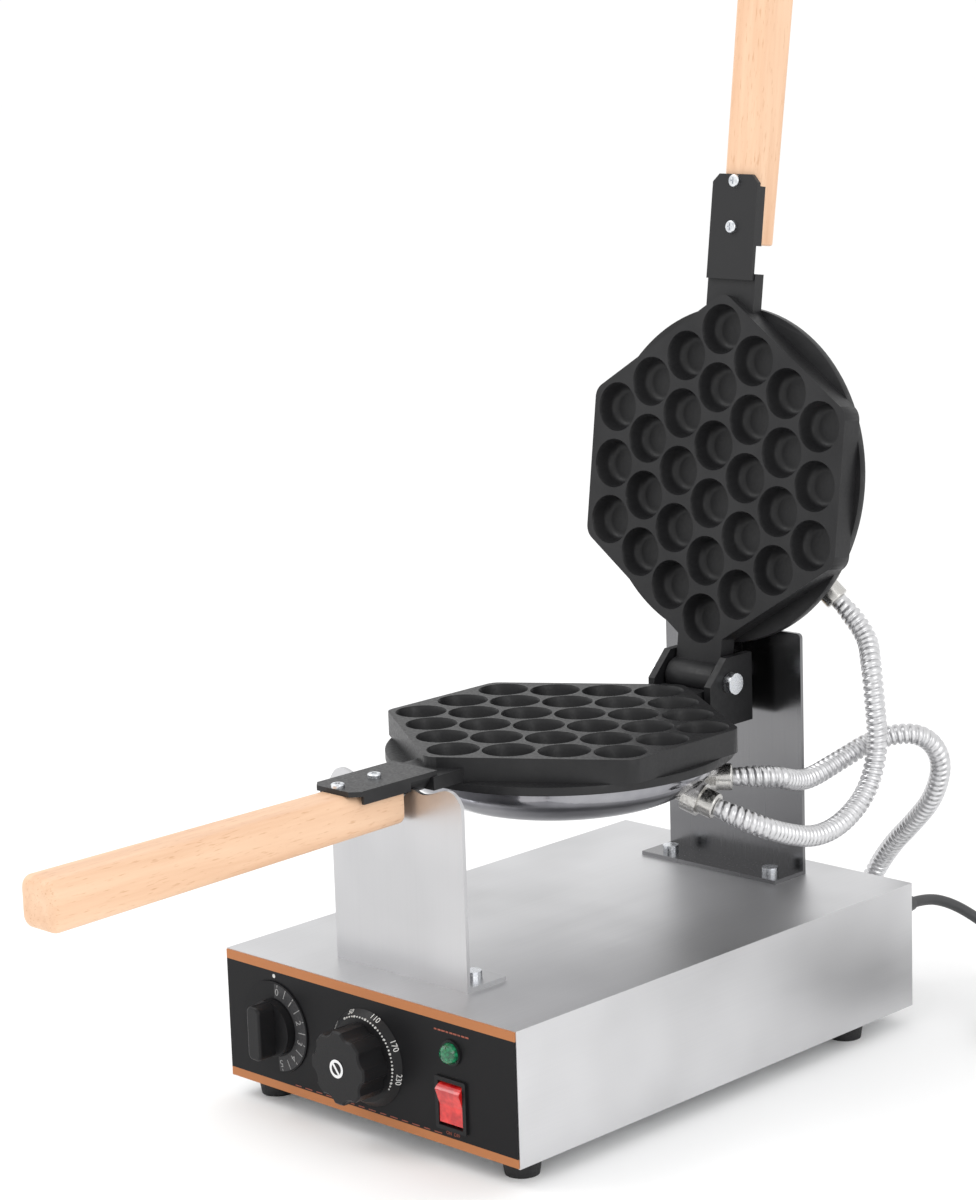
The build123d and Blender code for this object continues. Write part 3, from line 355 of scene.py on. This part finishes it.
switch_low, switch_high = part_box("switch_body")
SWITCH_X = (switch_low.x + switch_high.x) / 2
CAPTION_H = 0.0028
CAPTION_BELOW = 0.0020
lettering("switch_caption", "ON  OFF", SWITCH_X, switch_low.z - CAPTION_BELOW, PANEL_FACE, CAPTION_H, 0,
          print_red, "base")
lamp_low, lamp_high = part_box("lamp_lens")
LAMP_X = (lamp_low.x + lamp_high.x) / 2
CAPTION_Z = lamp_high.z + 0.0052
CAPTION_STEP = 0.0031
CAPTION_DASHES = 9
CAPTION_DASH_H = 0.0009
caption = []
for stroke in range(CAPTION_DASHES):
    dash = 0.0020 + 0.0004 * (stroke % 3)
    x = LAMP_X + (stroke - CAPTION_DASHES // 2) * CAPTION_STEP
    caption.append((x, CAPTION_Z, CAPTION_DASH_H, dash, 0))
printed_marks("lamp_caption", caption, PANEL_FACE, print_red, "base")
RULE_FROM = -0.060
RULE_Z = panel_low.z + LOW_BAND_H + 0.0014
RULE_STEP = 0.0090
RULE_DASHES = 14
RULE_DASH_H = 0.0005
rule = []
for stroke in range(RULE_DASHES):
    dash = 0.0050 + 0.0010 * (stroke % 2)
    rule.append((RULE_FROM + stroke * RULE_STEP, RULE_Z, RULE_DASH_H, dash, 0))
printed_marks("panel_rule", rule, PANEL_FACE, print_red, "base")

# Timer. A flat satin disc with a printed scale of minutes round its right half, and a moulded
# black knob with a bar grip, pushed on the timer's spindle.
timer_low, timer_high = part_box("timer_dial")
TIMER_X = (timer_low.x + timer_high.x) / 2
TIMER_Z = (timer_low.z + timer_high.z) / 2
TIMER_R = (timer_high.x - timer_low.x) / 2
dial_lacquer = finish("dial_lacquer", (0.010, 0.010, 0.011), 0.34, Specular_IOR_Level=0.12)
dial_skin = grain(dial_lacquer, place_on(dial_lacquer), (800, 800, 800), 3.0)
feed(dial_lacquer, "Roughness", span(dial_lacquer, dial_skin, 0.28, 0.42))
relief(dial_lacquer, dial_skin, 0.00002)
dress(dial_lacquer, "timer_dial")

knob_plastic = finish("knob_plastic", (0.012, 0.012, 0.013), 0.4, Specular_IOR_Level=0.22)
knob_skin = grain(knob_plastic, place_on(knob_plastic), (1100, 1100, 1100), 4.0)
feed(knob_plastic, "Roughness", span(knob_plastic, knob_skin, 0.32, 0.5))
relief(knob_plastic, knob_skin, 0.00004)
dress(knob_plastic, "timer_knob", "thermostat_knob", "timer_body", "thermostat_body", "lamp_body",
      "switch_body")

print_grey = ink("print_grey", (0.20, 0.20, 0.20), (0.36, 0.36, 0.36))
print_slate = ink("print_slate", (0.034, 0.034, 0.036), (0.052, 0.052, 0.054), 700, Specular_IOR_Level=0.2)
MINUTES = 5
SCALE_FROM = 8.0
SCALE_TO = 168.0
BAND_IN = TIMER_R - 0.0100
BAND_OUT = TIMER_R - 0.0010
BAND_SPARE = 6.0
BAND_STEPS = 40


def on_dial(angle, r, y):
    """A point over the dial at an angle in degrees from the top, clockwise."""
    return (TIMER_X + r * sin(radians(angle)), y, TIMER_Z + r * cos(radians(angle)))


band_shape = bmesh.new()
edge = []
for step in range(BAND_STEPS + 1):
    angle = SCALE_FROM - BAND_SPARE + (SCALE_TO - SCALE_FROM + 2 * BAND_SPARE) * step / BAND_STEPS
    edge.append([band_shape.verts.new(on_dial(angle, r, timer_low.y - INK / 2)) for r in (BAND_IN, BAND_OUT)])
for before, after in zip(edge, edge[1:]):
    band_shape.faces.new((before[0], before[1], after[1], after[0]))
add_piece("timer_band", mesh_of("timer_band", band_shape), print_slate, "base")
SCALE_FACE = timer_low.y - INK
HALF_MINUTE_TICK = 0.0060
MINUTE_TICK = 0.0014
TICK_W = 0.0005
TICK_IN = 0.0012
FIGURE_IN = 0.0060
FIGURE_H = 0.0062
ticks = []
for half in range(MINUTES * 2 + 1):
    angle = SCALE_FROM + (SCALE_TO - SCALE_FROM) * half / (MINUTES * 2)
    long = HALF_MINUTE_TICK if half % 2 else MINUTE_TICK
    x, y, z = on_dial(angle, TIMER_R - TICK_IN - long / 2, SCALE_FACE)
    ticks.append((x, z, long, TICK_W, angle))
    if half % 2 == 0:
        minute = half // 2
        x, y, z = on_dial(angle, TIMER_R - FIGURE_IN, SCALE_FACE)
        lettering(f"timer_figure_{minute}", str(minute), x, z, SCALE_FACE, FIGURE_H, angle, print_grey,
                  "base")
printed_marks("timer_ticks", ticks, SCALE_FACE, print_grey, "base")

DOT_R = 0.0012
DOT_ABOVE = 0.0032
dot_shape = bmesh.new()
bmesh.ops.create_cone(dot_shape, cap_ends=True, segments=24, radius1=DOT_R, radius2=DOT_R, depth=INK)
dot_place = Matrix.Translation((TIMER_X, PANEL_FACE - INK / 2, TIMER_Z + TIMER_R + DOT_ABOVE))
add_piece("timer_dot", mesh_of("timer_dot", dot_shape), print_white, "base",
          dot_place @ FACING_FRONT)

# Thermostat. A lobed knob that stands proud on a conical skirt; the skirt carries a dotted arc
# and the degrees in white, and a slotted chrome disc closes the middle of the grip.
skirt_low, skirt_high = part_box("thermostat_knob")
THERMO_X = (skirt_low.x + skirt_high.x) / 2
THERMO_Z = (skirt_low.z + skirt_high.z) / 2
SKIRT_R = (skirt_high.x - skirt_low.x) / 2
SKIRT_SLOPE = 4.0 / 5.0


def on_skirt(angle, r):
    """A point on the sloping face of the skirt at an angle from the top, clockwise."""
    face_y = skirt_high.y - (SKIRT_R - r) / SKIRT_SLOPE - INK
    return (THERMO_X + r * sin(radians(angle)), face_y, THERMO_Z + r * cos(radians(angle)))


def skirt_place(angle, r):
    """Where a figure stands on the skirt: upright when it is at the top, lying on the slope."""
    out = Vector((sin(radians(angle)), 0, cos(radians(angle))))
    rise = (out * SKIRT_SLOPE + Vector((0, 1, 0))).normalized()
    face = (out - Vector((0, SKIRT_SLOPE, 0))).normalized()
    turn = Matrix((rise.cross(face), rise, face)).transposed().to_4x4()
    return Matrix.Translation(on_skirt(angle, r)) @ turn


ARC_DOTS = 31
ARC_FROM = -30.0
ARC_STEP = 5.0
ARC_IN = 0.0036
arc_shape = bmesh.new()
for dot in range(ARC_DOTS):
    dot_r = 0.00062 if dot % 4 else 0.00085
    ball = bmesh.ops.create_icosphere(arc_shape, subdivisions=1, radius=dot_r)
    place = on_skirt(ARC_FROM + dot * ARC_STEP, SKIRT_R - ARC_IN)
    bmesh.ops.translate(arc_shape, verts=ball["verts"], vec=place)
add_piece("thermostat_arc", mesh_of("thermostat_arc", arc_shape), print_white, "thermostat_control")

DEGREES_H = 0.0048
DEGREES_IN = 0.0012
for words, angle in (("OFF", -62), ("50", -22), ("110", 20), ("170", 62), ("230", 104)):
    name = "thermostat_figure_" + words
    add_piece(name, figures(name, words, DEGREES_H), print_white, "thermostat_control",
              skirt_place(angle, SKIRT_R - DEGREES_IN))

chrome = finish("chrome", (0.80, 0.81, 0.82), 0.1, 1.0)
chrome_haze = grain(chrome, place_on(chrome), (300, 300, 300), 2.0)
feed(chrome, "Roughness", span(chrome, chrome_haze, 0.06, 0.18))
dress(chrome, "thermostat_cap")
cap_low, cap_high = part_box("thermostat_cap")
CAP_R = (cap_high.x - cap_low.x) / 2
CAP_SLOT_R = CAP_R - 0.0016
FIELD_H = 0.0004
SLASH_TURN = -38
cap_shape = bmesh.new()
bmesh.ops.create_cone(cap_shape, cap_ends=True, segments=40, radius1=CAP_SLOT_R, radius2=CAP_SLOT_R - 0.0003,
                      depth=FIELD_H)
bmesh.ops.transform(cap_shape, matrix=Matrix.Translation((THERMO_X, cap_low.y, THERMO_Z)) @ FACING_FRONT,
                    verts=cap_shape.verts)
add_piece("thermostat_cap_field", mesh_of("thermostat_cap_field", cap_shape), knob_plastic,
          "thermostat_control")
slash = [(THERMO_X, THERMO_Z, 2 * CAP_SLOT_R - 0.0006, 0.0015, SLASH_TURN)]
printed_marks("thermostat_slash", slash, cap_low.y - FIELD_H / 2, chrome, "thermostat_control")

# Pilot lamp and rocker. A green jewel in a black bezel, and a red rocker that tilts in a black frame;
# its red is lighter in random patches as a painted glow from inside.
jewel = finish("jewel", (0.01, 0.30, 0.12), 0.08, 0.0, Transmission_Weight=0.35, IOR=1.5, Coat_Weight=0.6)
cut = jewel.node_tree.nodes.new("ShaderNodeTexVoronoi")
cut.inputs["Scale"].default_value = 420.0
jewel.node_tree.links.new(place_on(jewel), cut.inputs["Vector"])
feed(jewel, "Base Color", tint(jewel, cut.outputs["Distance"],
                               ((0.1, (0.02, 0.42, 0.17)), (0.7, (0.004, 0.14, 0.06)))))
relief(jewel, cut.outputs["Distance"], 0.0003)
dress(jewel, "lamp_lens")

rocker_red = finish("rocker_red", (0.72, 0.012, 0.014), 0.16, 0.0, Coat_Weight=0.5, Subsurface_Weight=0.1)
# Lighter patches in the red: a painted glow from inside.
rocker_painted_glow = grain(rocker_red, place_on(rocker_red), (160, 160, 160), 2.0)
feed(rocker_red, "Base Color", tint(rocker_red, rocker_painted_glow,
                                    ((0.35, (0.52, 0.006, 0.010)), (0.65, (0.86, 0.035, 0.03)))))
dress(rocker_red, "rocker")

# Terminal block inside the box, white glazed ceramic.
ceramic = finish("ceramic", (0.80, 0.78, 0.72), 0.3)
glaze = grain(ceramic, place_on(ceramic), (240, 240, 240), 3.0)
feed(ceramic, "Roughness", span(ceramic, glaze, 0.2, 0.4))
relief(ceramic, glaze, 0.00004)
dress(ceramic, "terminal_block")

# Brackets on the box. The front cradle is brushed sheet with two lobes; the rear upright is the same sheet
# polished, its colour darkened all over as a painted reflection of the pans. Both are bolted down with
# hexagon bolts.
# The cradle's steel is a little darker than the cover's: painted shade on its front face.
cradle_steel_painted_shade = brushed_steel("cradle_steel_painted_shade", (0.58, 0.58, 0.59), (1400, 1400, 5), 0.30, 0.40)
dress(cradle_steel_painted_shade, "front_cradle")
upright_steel_painted_reflection = brushed_steel("upright_steel_painted_reflection", (0.20, 0.20, 0.205), (900, 900, 5), 0.18, 0.28)
dress(upright_steel_painted_reflection, "rear_upright")
brass = finish("brass", (0.55, 0.36, 0.13), 0.3, 1.0)
turned = grain(brass, place_on(brass), (40, 1500, 40), 2.0)
feed(brass, "Roughness", span(brass, turned, 0.2, 0.4))
dress(brass, "bearing_bush")

# Pans. Two aluminium castings with thirty round cups each, coated black against sticking; the
# coating is satin with a fine orange peel and shows a little wear on the high faces.
PLATE_ROUND = 0.0005
coating = finish("coating", (0.016, 0.016, 0.017), 0.42, Specular_IOR_Level=0.3)
peel = grain(coating, place_on(coating), (520, 520, 520), 4.0)
wear = grain(coating, place_on(coating), (26, 26, 26), 4.0)
feed(coating, "Base Color", tint(coating, wear,
                                 ((0.3, (0.012, 0.012, 0.013)), (0.7, (0.022, 0.022, 0.023)))))
feed(coating, "Roughness", span(coating, peel, 0.34, 0.5))
relief(coating, peel, 0.00006)
dress(coating, "lower_plate", "upper_plate")


def ease(name, width):
    """Rounds the sharp edges of a CAD piece a little, as its coating or deburring does."""
    weld = nodes[name].modifiers.new("weld", "WELD")
    weld.merge_threshold = 0.00001
    edge_round = nodes[name].modifiers.new("edge_round", "BEVEL")
    edge_round.width = width
    edge_round.segments = 2
    edge_round.limit_method = "ANGLE"
    edge_round.angle_limit = radians(40)
    edge_round.use_clamp_overlap = True
    edge_round.harden_normals = True


ease("lower_plate", PLATE_ROUND)
ease("upper_plate", PLATE_ROUND)

# Bowls, heaters and centre studs. Spun stainless bowls, polished, with faint rings left by the spinning
# tool, their colour darkened as a painted reflection and the lower bowl's more, as painted shade
# underneath; the tubular heaters behind them are oxidised steel.
turning = next(joint for joint in frame["joints"] if joint["name"] == "pan_turn")
PARTING_Z = turning["pos_m"][2]
PARTING_GAP = 0.0005
PAN_Y = 0.080642
PAN_CENTRE = (0.0, PAN_Y, PARTING_Z - PARTING_GAP / 2)


def spun_bowl(name, tone, centre, turn):
    """Polished stainless with rings round the bowl's own axis, its tone darkened as a painted reflection."""
    stuff = finish(name, (tone, tone, tone + 0.02), 0.1, 1.0)
    where = place_on(stuff, centre, turn)
    rings = stuff.node_tree.nodes.new("ShaderNodeTexWave")
    rings.wave_type = "RINGS"
    rings.rings_direction = "Z"
    rings.inputs["Scale"].default_value = 180.0
    rings.inputs["Distortion"].default_value = 0.6
    stuff.node_tree.links.new(where, rings.inputs["Vector"])
    haze = grain(stuff, where, (40, 40, 40), 3.0)
    feed(stuff, "Roughness", span(stuff, haze, 0.07, 0.18))
    dark = (tone - 0.05, tone - 0.05, tone - 0.03)
    light = (tone + 0.05, tone + 0.05, tone + 0.07)
    feed(stuff, "Base Color", tint(stuff, haze, ((0.3, dark), (0.7, light))))
    relief(stuff, rings.outputs["Fac"], 0.000008)
    return stuff


# The lower bowl is darker than the upper: painted shade underneath.
dress(spun_bowl("lower_bowl_painted_reflection_and_shade", 0.32, PAN_CENTRE, (0, 0, 0)), "lower_dome")
opening = next(joint for joint in frame["joints"] if joint["name"] == "lid_hinge")
HINGE_PLACE = Vector(opening["pos_m"])
LID_OPEN = -radians(opening["range_deg"][1])
lid_swing = Matrix.Rotation(LID_OPEN, 4, "X") @ Matrix.Rotation(pi, 4, "Y")
closed_reach = Vector((0, PAN_Y, PARTING_Z)) - HINGE_PLACE
lid_centre = HINGE_PLACE + Matrix.Rotation(LID_OPEN, 3, "X") @ closed_reach
dress(spun_bowl("upper_bowl_painted_reflection", 0.42, lid_centre, lid_swing.to_euler()), "upper_dome")

heater_steel = finish("heater_steel", (0.20, 0.19, 0.18), 0.45, 1.0)
scale_marks = grain(heater_steel, place_on(heater_steel), (200, 200, 200), 4.0)
feed(heater_steel, "Base Color", tint(heater_steel, scale_marks,
                                      ((0.3, (0.10, 0.09, 0.09)), (0.7, (0.30, 0.27, 0.24)))))
dress(heater_steel, "lower_heater", "upper_heater")

stud_steel = finish("stud_steel", (0.66, 0.66, 0.68), 0.2, 1.0)
stud_skin = grain(stud_steel, place_on(stud_steel), (500, 500, 500))
feed(stud_steel, "Roughness", span(stud_steel, stud_skin, 0.14, 0.3))
dress(stud_steel, "lower_dome_stud", "upper_dome_stud")

# Straps and handles. Steel channels, painted charcoal, carry turned and flattened beech grips
# that are oiled but not varnished.
strap_paint = finish("strap_paint", (0.020, 0.020, 0.021), 0.4, 0.0, Specular_IOR_Level=0.3)
paint_skin = grain(strap_paint, place_on(strap_paint), (600, 600, 600), 3.0)
feed(strap_paint, "Roughness", span(strap_paint, paint_skin, 0.3, 0.48))
relief(strap_paint, paint_skin, 0.00003)
dress(strap_paint, "lower_strap", "upper_strap")


def beech(name):
    """Pale beech: long soft bands, and the short dark flecks that beech shows on its flat faces."""
    stuff = finish(name, (0.80, 0.55, 0.34), 0.5, 0.0)
    where = place_on(stuff)
    tree = stuff.node_tree
    bands = grain(stuff, where, (90, 5, 90), 4.0, 0.6)
    flecks = grain(stuff, where, (900, 110, 900), 2.0, 0.5)
    ground = tint(stuff, bands, (
        (0.25, (0.72, 0.43, 0.26)),
        (0.5, (0.82, 0.54, 0.355)),
        (0.75, (0.88, 0.62, 0.43))))
    dark = tint(stuff, flecks, ((0.60, (1.0, 1.0, 1.0)), (0.74, (0.84, 0.76, 0.68))))
    mix = tree.nodes.new("ShaderNodeMix")
    mix.data_type = "RGBA"
    mix.blend_type = "MULTIPLY"
    mix.inputs["Factor"].default_value = 1.0
    tree.links.new(ground, mix.inputs["A"])
    tree.links.new(dark, mix.inputs["B"])
    feed(stuff, "Base Color", mix.outputs["Result"])
    feed(stuff, "Roughness", span(stuff, bands, 0.42, 0.58))
    relief(stuff, flecks, 0.00006)
    return stuff


GRIP_NEAR = 0.144
GRIP_FAR = 0.397
GRIP_TOP = -0.00645
GRIP_WIDTHS = (0.0272, 0.0292)
GRIP_DEPTHS = (0.0250, 0.0290)
GRIP_CORNER = 0.0062
LEAST_CORNER = 0.002
NEAR_ROUNDING = 0.0015
FAR_ROUNDING = 0.0060
BAR_FROM = GRIP_NEAR + 0.002
BAR_RUN = GRIP_FAR - GRIP_NEAR - 0.009
NEAR_STEPS = 5
BAR_STEPS = 24
FAR_STEPS = 8
CORNER_STEPS = 7


def grip_stations():
    """How far out each section of the grip lies, and how much the rounded ends draw it in."""
    stations = []
    for step in range(NEAR_STEPS + 1):
        part = radians(90 * step / NEAR_STEPS)
        stations.append((GRIP_NEAR + NEAR_ROUNDING * (1 - cos(part)), NEAR_ROUNDING * (1 - sin(part))))
    for step in range(1, BAR_STEPS):
        stations.append((BAR_FROM + BAR_RUN * step / BAR_STEPS, 0.0))
    for step in range(FAR_STEPS + 1):
        part = radians(90 * step / FAR_STEPS)
        stations.append((GRIP_FAR - FAR_ROUNDING * (1 - sin(part)), FAR_ROUNDING * (1 - cos(part))))
    return stations


def grip_section(shape, s, inset):
    """The points of one section of the grip: a rectangle with rounded corners."""
    share = (s - GRIP_NEAR) / (GRIP_FAR - GRIP_NEAR)
    half_w = (GRIP_WIDTHS[0] + (GRIP_WIDTHS[1] - GRIP_WIDTHS[0]) * share) / 2 - inset
    depth = GRIP_DEPTHS[0] + (GRIP_DEPTHS[1] - GRIP_DEPTHS[0]) * share
    half_d = depth / 2 - inset
    middle = GRIP_TOP - depth / 2
    corner = max(GRIP_CORNER - inset / 2, LEAST_CORNER)
    loop = []
    for quarter, (side_x, side_z) in enumerate(((1, 1), (-1, 1), (-1, -1), (1, -1))):
        for step in range(CORNER_STEPS + 1):
            angle = radians(90 * quarter + 90 * step / CORNER_STEPS)
            x = side_x * (half_w - corner) + corner * cos(angle)
            z = middle + side_z * (half_d - corner) + corner * sin(angle)
            loop.append(shape.verts.new((x, -s, z)))
    return loop


def skin(shape, last, loop):
    """Joins a loop to the one before it with smooth faces, or closes the end where it is the first."""
    if not last:
        shape.faces.new(list(reversed(loop)))
        return
    for corner in range(len(loop)):
        follow = (corner + 1) % len(loop)
        shape.faces.new((last[corner], last[follow], loop[follow], loop[corner])).smooth = True


def grip_mesh(name):
    """The wooden grip in the pan's own frame: a rounded bar that thickens a little to its far end."""
    shape = bmesh.new()
    last = None
    for s, inset in grip_stations():
        loop = grip_section(shape, s, inset)
        skin(shape, last, loop)
        last = loop
    shape.faces.new(last)
    bmesh.ops.recalc_face_normals(shape, faces=shape.faces)
    return mesh_of(name, shape)


lower_place = Matrix.Translation(PAN_CENTRE)
lid_place = Matrix.Translation(lid_centre) @ lid_swing @ Matrix.Translation((0, 0, -PARTING_GAP / 2))
for side, place, body in (("lower", lower_place, "pan_carriage"), ("upper", lid_place, "lid")):
    name = side + "_grip"
    grip = add_piece(name, grip_mesh(name), beech(side + "_beech"), body, place)
    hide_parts(side + "_handle")

# Hinge and shaft. A cast clevis painted black is screwed under the lower pan; the hinge bolt
# goes through both ears and the lid's lug, and the ground shaft turns in the rear bush.
clevis_paint = finish("clevis_paint", (0.010, 0.010, 0.011), 0.4, 0.0, Specular_IOR_Level=0.35)
casting = grain(clevis_paint, place_on(clevis_paint), (260, 260, 260), 4.0)
feed(clevis_paint, "Roughness", span(clevis_paint, casting, 0.36, 0.56))
relief(clevis_paint, casting, 0.00012)
dress(clevis_paint, "hinge_bracket")
ground_steel = finish("ground_steel", (0.58, 0.58, 0.60), 0.25, 1.0)
ground_rings = grain(ground_steel, place_on(ground_steel), (30, 1800, 30))
feed(ground_steel, "Roughness", span(ground_steel, ground_rings, 0.15, 0.35))
dress(ground_steel, "turning_shaft")

# Glands. Turned hexagon fittings, nickel plated, that clamp the ends of the conduits.
nickel = finish("nickel", (0.56, 0.55, 0.53), 0.22, 1.0)
nickel_haze = grain(nickel, place_on(nickel), (500, 500, 500))
feed(nickel, "Roughness", span(nickel, nickel_haze, 0.14, 0.34))
dress(nickel, "lower_gland", "upper_gland", "base_gland")

# Ribbed conduits. Interlocked steel strip wound into a bright flexible tube: one runs from the
# lower pan round behind it to the lid, the other from the lower pan down to the back of the box.
HOSE_D = 0.013
HOSE_GROOVE = 0.0012
HOSE_TURN = 0.0042
RINGS_IN_TURN = 8
HOSE_SIDES = 28
CREST_SHARE = 1.6
BOX_MIDDLE = 0.0880579


def in_frame(points):
    """Route points in millimetres from the front of the box, as points of this frame in metres."""
    return [Vector((x / 1000, y / 1000 - BOX_MIDDLE, z / 1000)) for x, y, z in points]


def lying_line(name, points):
    """A smooth line through a route: a quadratic NURBS spline with the route's points."""
    curve = bpy.data.curves.new(name, "CURVE")
    curve.dimensions = "3D"
    curve.resolution_u = 12
    spline = curve.splines.new("NURBS")
    spline.points.add(len(points) - 1)
    for place, point in zip(spline.points, points):
        place.co = (*point, 1)
    spline.order_u = 3
    spline.use_endpoint_u = True
    return curve


def line_points(name, points):
    """The points of that smooth line, read from the spline itself."""
    curve = lying_line(name, points)
    holder = bpy.data.objects.new(name, curve)
    scene.collection.objects.link(holder)
    bpy.context.view_layer.update()
    mesh = bpy.data.meshes.new_from_object(holder)
    line = [v.co.copy() for v in mesh.vertices]
    bpy.data.objects.remove(holder)
    bpy.data.meshes.remove(mesh)
    bpy.data.curves.remove(curve)
    return line


def measure(line):
    """Length of a line, and how far along it each of its points lies."""
    along = [0.0]
    for a, b in zip(line, line[1:]):
        along.append(along[-1] + (b - a).length)
    return along


conduit_steel = finish("conduit_steel", (0.66, 0.66, 0.67), 0.3, 1.0)
strip_haze = grain(conduit_steel, place_on(conduit_steel), (260, 260, 260), 3.0)
feed(conduit_steel, "Base Color", tint(conduit_steel, strip_haze,
                                       ((0.3, (0.58, 0.58, 0.59)), (0.7, (0.72, 0.72, 0.73)))))
feed(conduit_steel, "Roughness", span(conduit_steel, strip_haze, 0.26, 0.38))


def wound_conduit(name, points):
    """A tube whose wall rises and falls along a helix, as wound strip does."""
    line = line_points(name + "_line", points)
    along = measure(line)
    total = along[-1]
    rings = int(total / (HOSE_TURN / RINGS_IN_TURN))
    shape = bmesh.new()
    side = Vector((0, 0, 1)).cross(line[1] - line[0]).normalized()
    step = 0
    last = None
    for ring in range(rings + 1):
        s = total * ring / rings
        while step < len(along) - 2 and along[step + 1] < s:
            step += 1
        run = along[step + 1] - along[step]
        part = (s - along[step]) / run
        before = (line[step + 1] - line[max(step - 1, 0)]).normalized()
        after = (line[min(step + 2, len(line) - 1)] - line[step]).normalized()
        way = before.lerp(after, part).normalized()
        centre = line[step].lerp(line[step + 1], part)
        side = (side - way * side.dot(way)).normalized()
        other = way.cross(side)
        plain = min(1.0, min(s, total - s) / HOSE_D)
        loop = []
        for corner in range(HOSE_SIDES):
            angle = 2 * pi * corner / HOSE_SIDES
            wave = 0.5 + 0.5 * cos(2 * pi * s / HOSE_TURN - angle)
            crest = min(1.0, wave * CREST_SHARE) * plain
            r = HOSE_D / 2 - HOSE_GROOVE * (1 - crest)
            loop.append(shape.verts.new(centre + side * (r * cos(angle)) + other * (r * sin(angle))))
        skin(shape, last, loop)
        last = loop
    shape.faces.new(last)
    mesh = mesh_of(name, shape)
    mesh.materials.append(conduit_steel)
    piece = bpy.data.objects.new(name, mesh)
    scene.collection.objects.link(piece)
    return piece, line, total


def lead_out(start, way, length):
    """The first two points of a conduit: its mouth, and a point straight out of it."""
    return [start, tuple(a + b * length for a, b in zip(start, way))]


STRAIGHT = 26.0
LID_HOSE_START = (97.3459, 198.462, 172.31)
LID_HOSE_WAY = (0.8986, 0.2747, -0.3420)
LID_HOSE_END = (71.9791, 347.732, 268.897)
LID_HOSE_END_WAY = (0.6645, 0.2487, -0.7047)
lid_route = lead_out(LID_HOSE_START, LID_HOSE_WAY, STRAIGHT)
lid_route += [(117, 240, 149.4), (114, 270, 140.4), (111, 300, 141.4), (110, 327, 155.4),
              (110, 338, 181.4), (110, 335, 209.4), (106, 337, 232.4)]
lid_route += reversed(lead_out(LID_HOSE_END, LID_HOSE_END_WAY, STRAIGHT))
lid_points = in_frame(lid_route)
lid_conduit, lid_line, lid_length = wound_conduit("lid_conduit", lid_points)
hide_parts("lid_hose")
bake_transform(lid_conduit)

BASE_HOSE_START = (76.5439, 237.62, 179.15)
BASE_HOSE_WAY = (0.7431, 0.6691, 0.0)
BASE_HOSE_END = (40.0, 376.0, 46.0)
BASE_HOSE_END_WAY = (0.0, 1.0, 0.0)
base_route = lead_out(BASE_HOSE_START, BASE_HOSE_WAY, STRAIGHT)
base_route += [(91, 275, 171.4), (85, 300, 165.4), (87, 325, 171.4), (99, 352, 184.4), (118, 372, 186.4),
               (122, 389, 166.4), (110, 396, 138.4), (88, 404, 116.4), (64, 412, 95.4), (45, 418, 72.4)]
base_route += reversed(lead_out(BASE_HOSE_END, BASE_HOSE_END_WAY, STRAIGHT))
base_points = in_frame(base_route)
base_conduit, base_line, base_length = wound_conduit("base_conduit", base_points)
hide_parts("base_hose")
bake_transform(base_conduit)

# Mains lead. A round lead in dark grey PVC from a ribbed strain relief at the back of the box,
# down to the table, wound for storage into a neat coil of two layers, with its moulded plug.
LEAD_D = 0.007
LEAD_GAP = 0.0006
COIL_R = 0.053
COIL_TURNS = 3
HALF_TURN_POINTS = 8
COIL_TAIL = 0.044
lead_route = in_frame([
    (100, 378, 69), (100, 398, 69), (107, 416, 63), (119, 430, 51), (135, 439, 36), (153, 444, 21),
    (172, 446, 10), (192, 449, 3.5), (218, 449, 3.5)])
here = lead_route.pop()
turns = [(COIL_R - half * (LEAD_D + LEAD_GAP) / 2, 0.0) for half in range(2 * COIL_TURNS)]
inner = turns[-1][0] - (LEAD_D + LEAD_GAP) / 2
turns.append((inner, LEAD_D + LEAD_GAP))
turns += [(inner + (half + 1) * (LEAD_D + LEAD_GAP) / 2, 0.0) for half in range(2 * COIL_TURNS - 1)]
way = -1
for r, climb in turns:
    corner_r = r / cos(pi / HALF_TURN_POINTS / 2)
    for point in range(HALF_TURN_POINTS):
        share_round = (point + 0.5) / HALF_TURN_POINTS
        angle = pi * share_round
        out = corner_r * sin(angle) * (1 if way < 0 else -1)
        lead_route.append(here + Vector((out, way * (r - corner_r * cos(angle)), climb * share_round)))
    here = here + Vector((0, way * 2 * r, climb))
    way = -way
lead_route.append(here + Vector((COIL_TAIL / 2, 0, 0)))
lead_route.append(here + Vector((COIL_TAIL + 0.004, 0, 0)))
lead_curve = lying_line("mains_lead", lead_route)
lead_curve.bevel_depth = LEAD_D / 2
lead_curve.bevel_resolution = 6
lead_curve.use_fill_caps = True
lead_pvc = finish("lead_pvc", (0.050, 0.051, 0.053), 0.48)
lead_skin = grain(lead_pvc, place_on(lead_pvc), (500, 500, 500), 3.0)
feed(lead_pvc, "Roughness", span(lead_pvc, lead_skin, 0.4, 0.58))
relief(lead_pvc, lead_skin, 0.00003)
lead_curve.materials.append(lead_pvc)
mains_lead = bpy.data.objects.new("mains_lead", lead_curve)
scene.collection.objects.link(mains_lead)
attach(mains_lead, "base")
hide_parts("mains_cord", "mains_coil")
dress(lead_pvc, "mains_plug", "strain_relief")
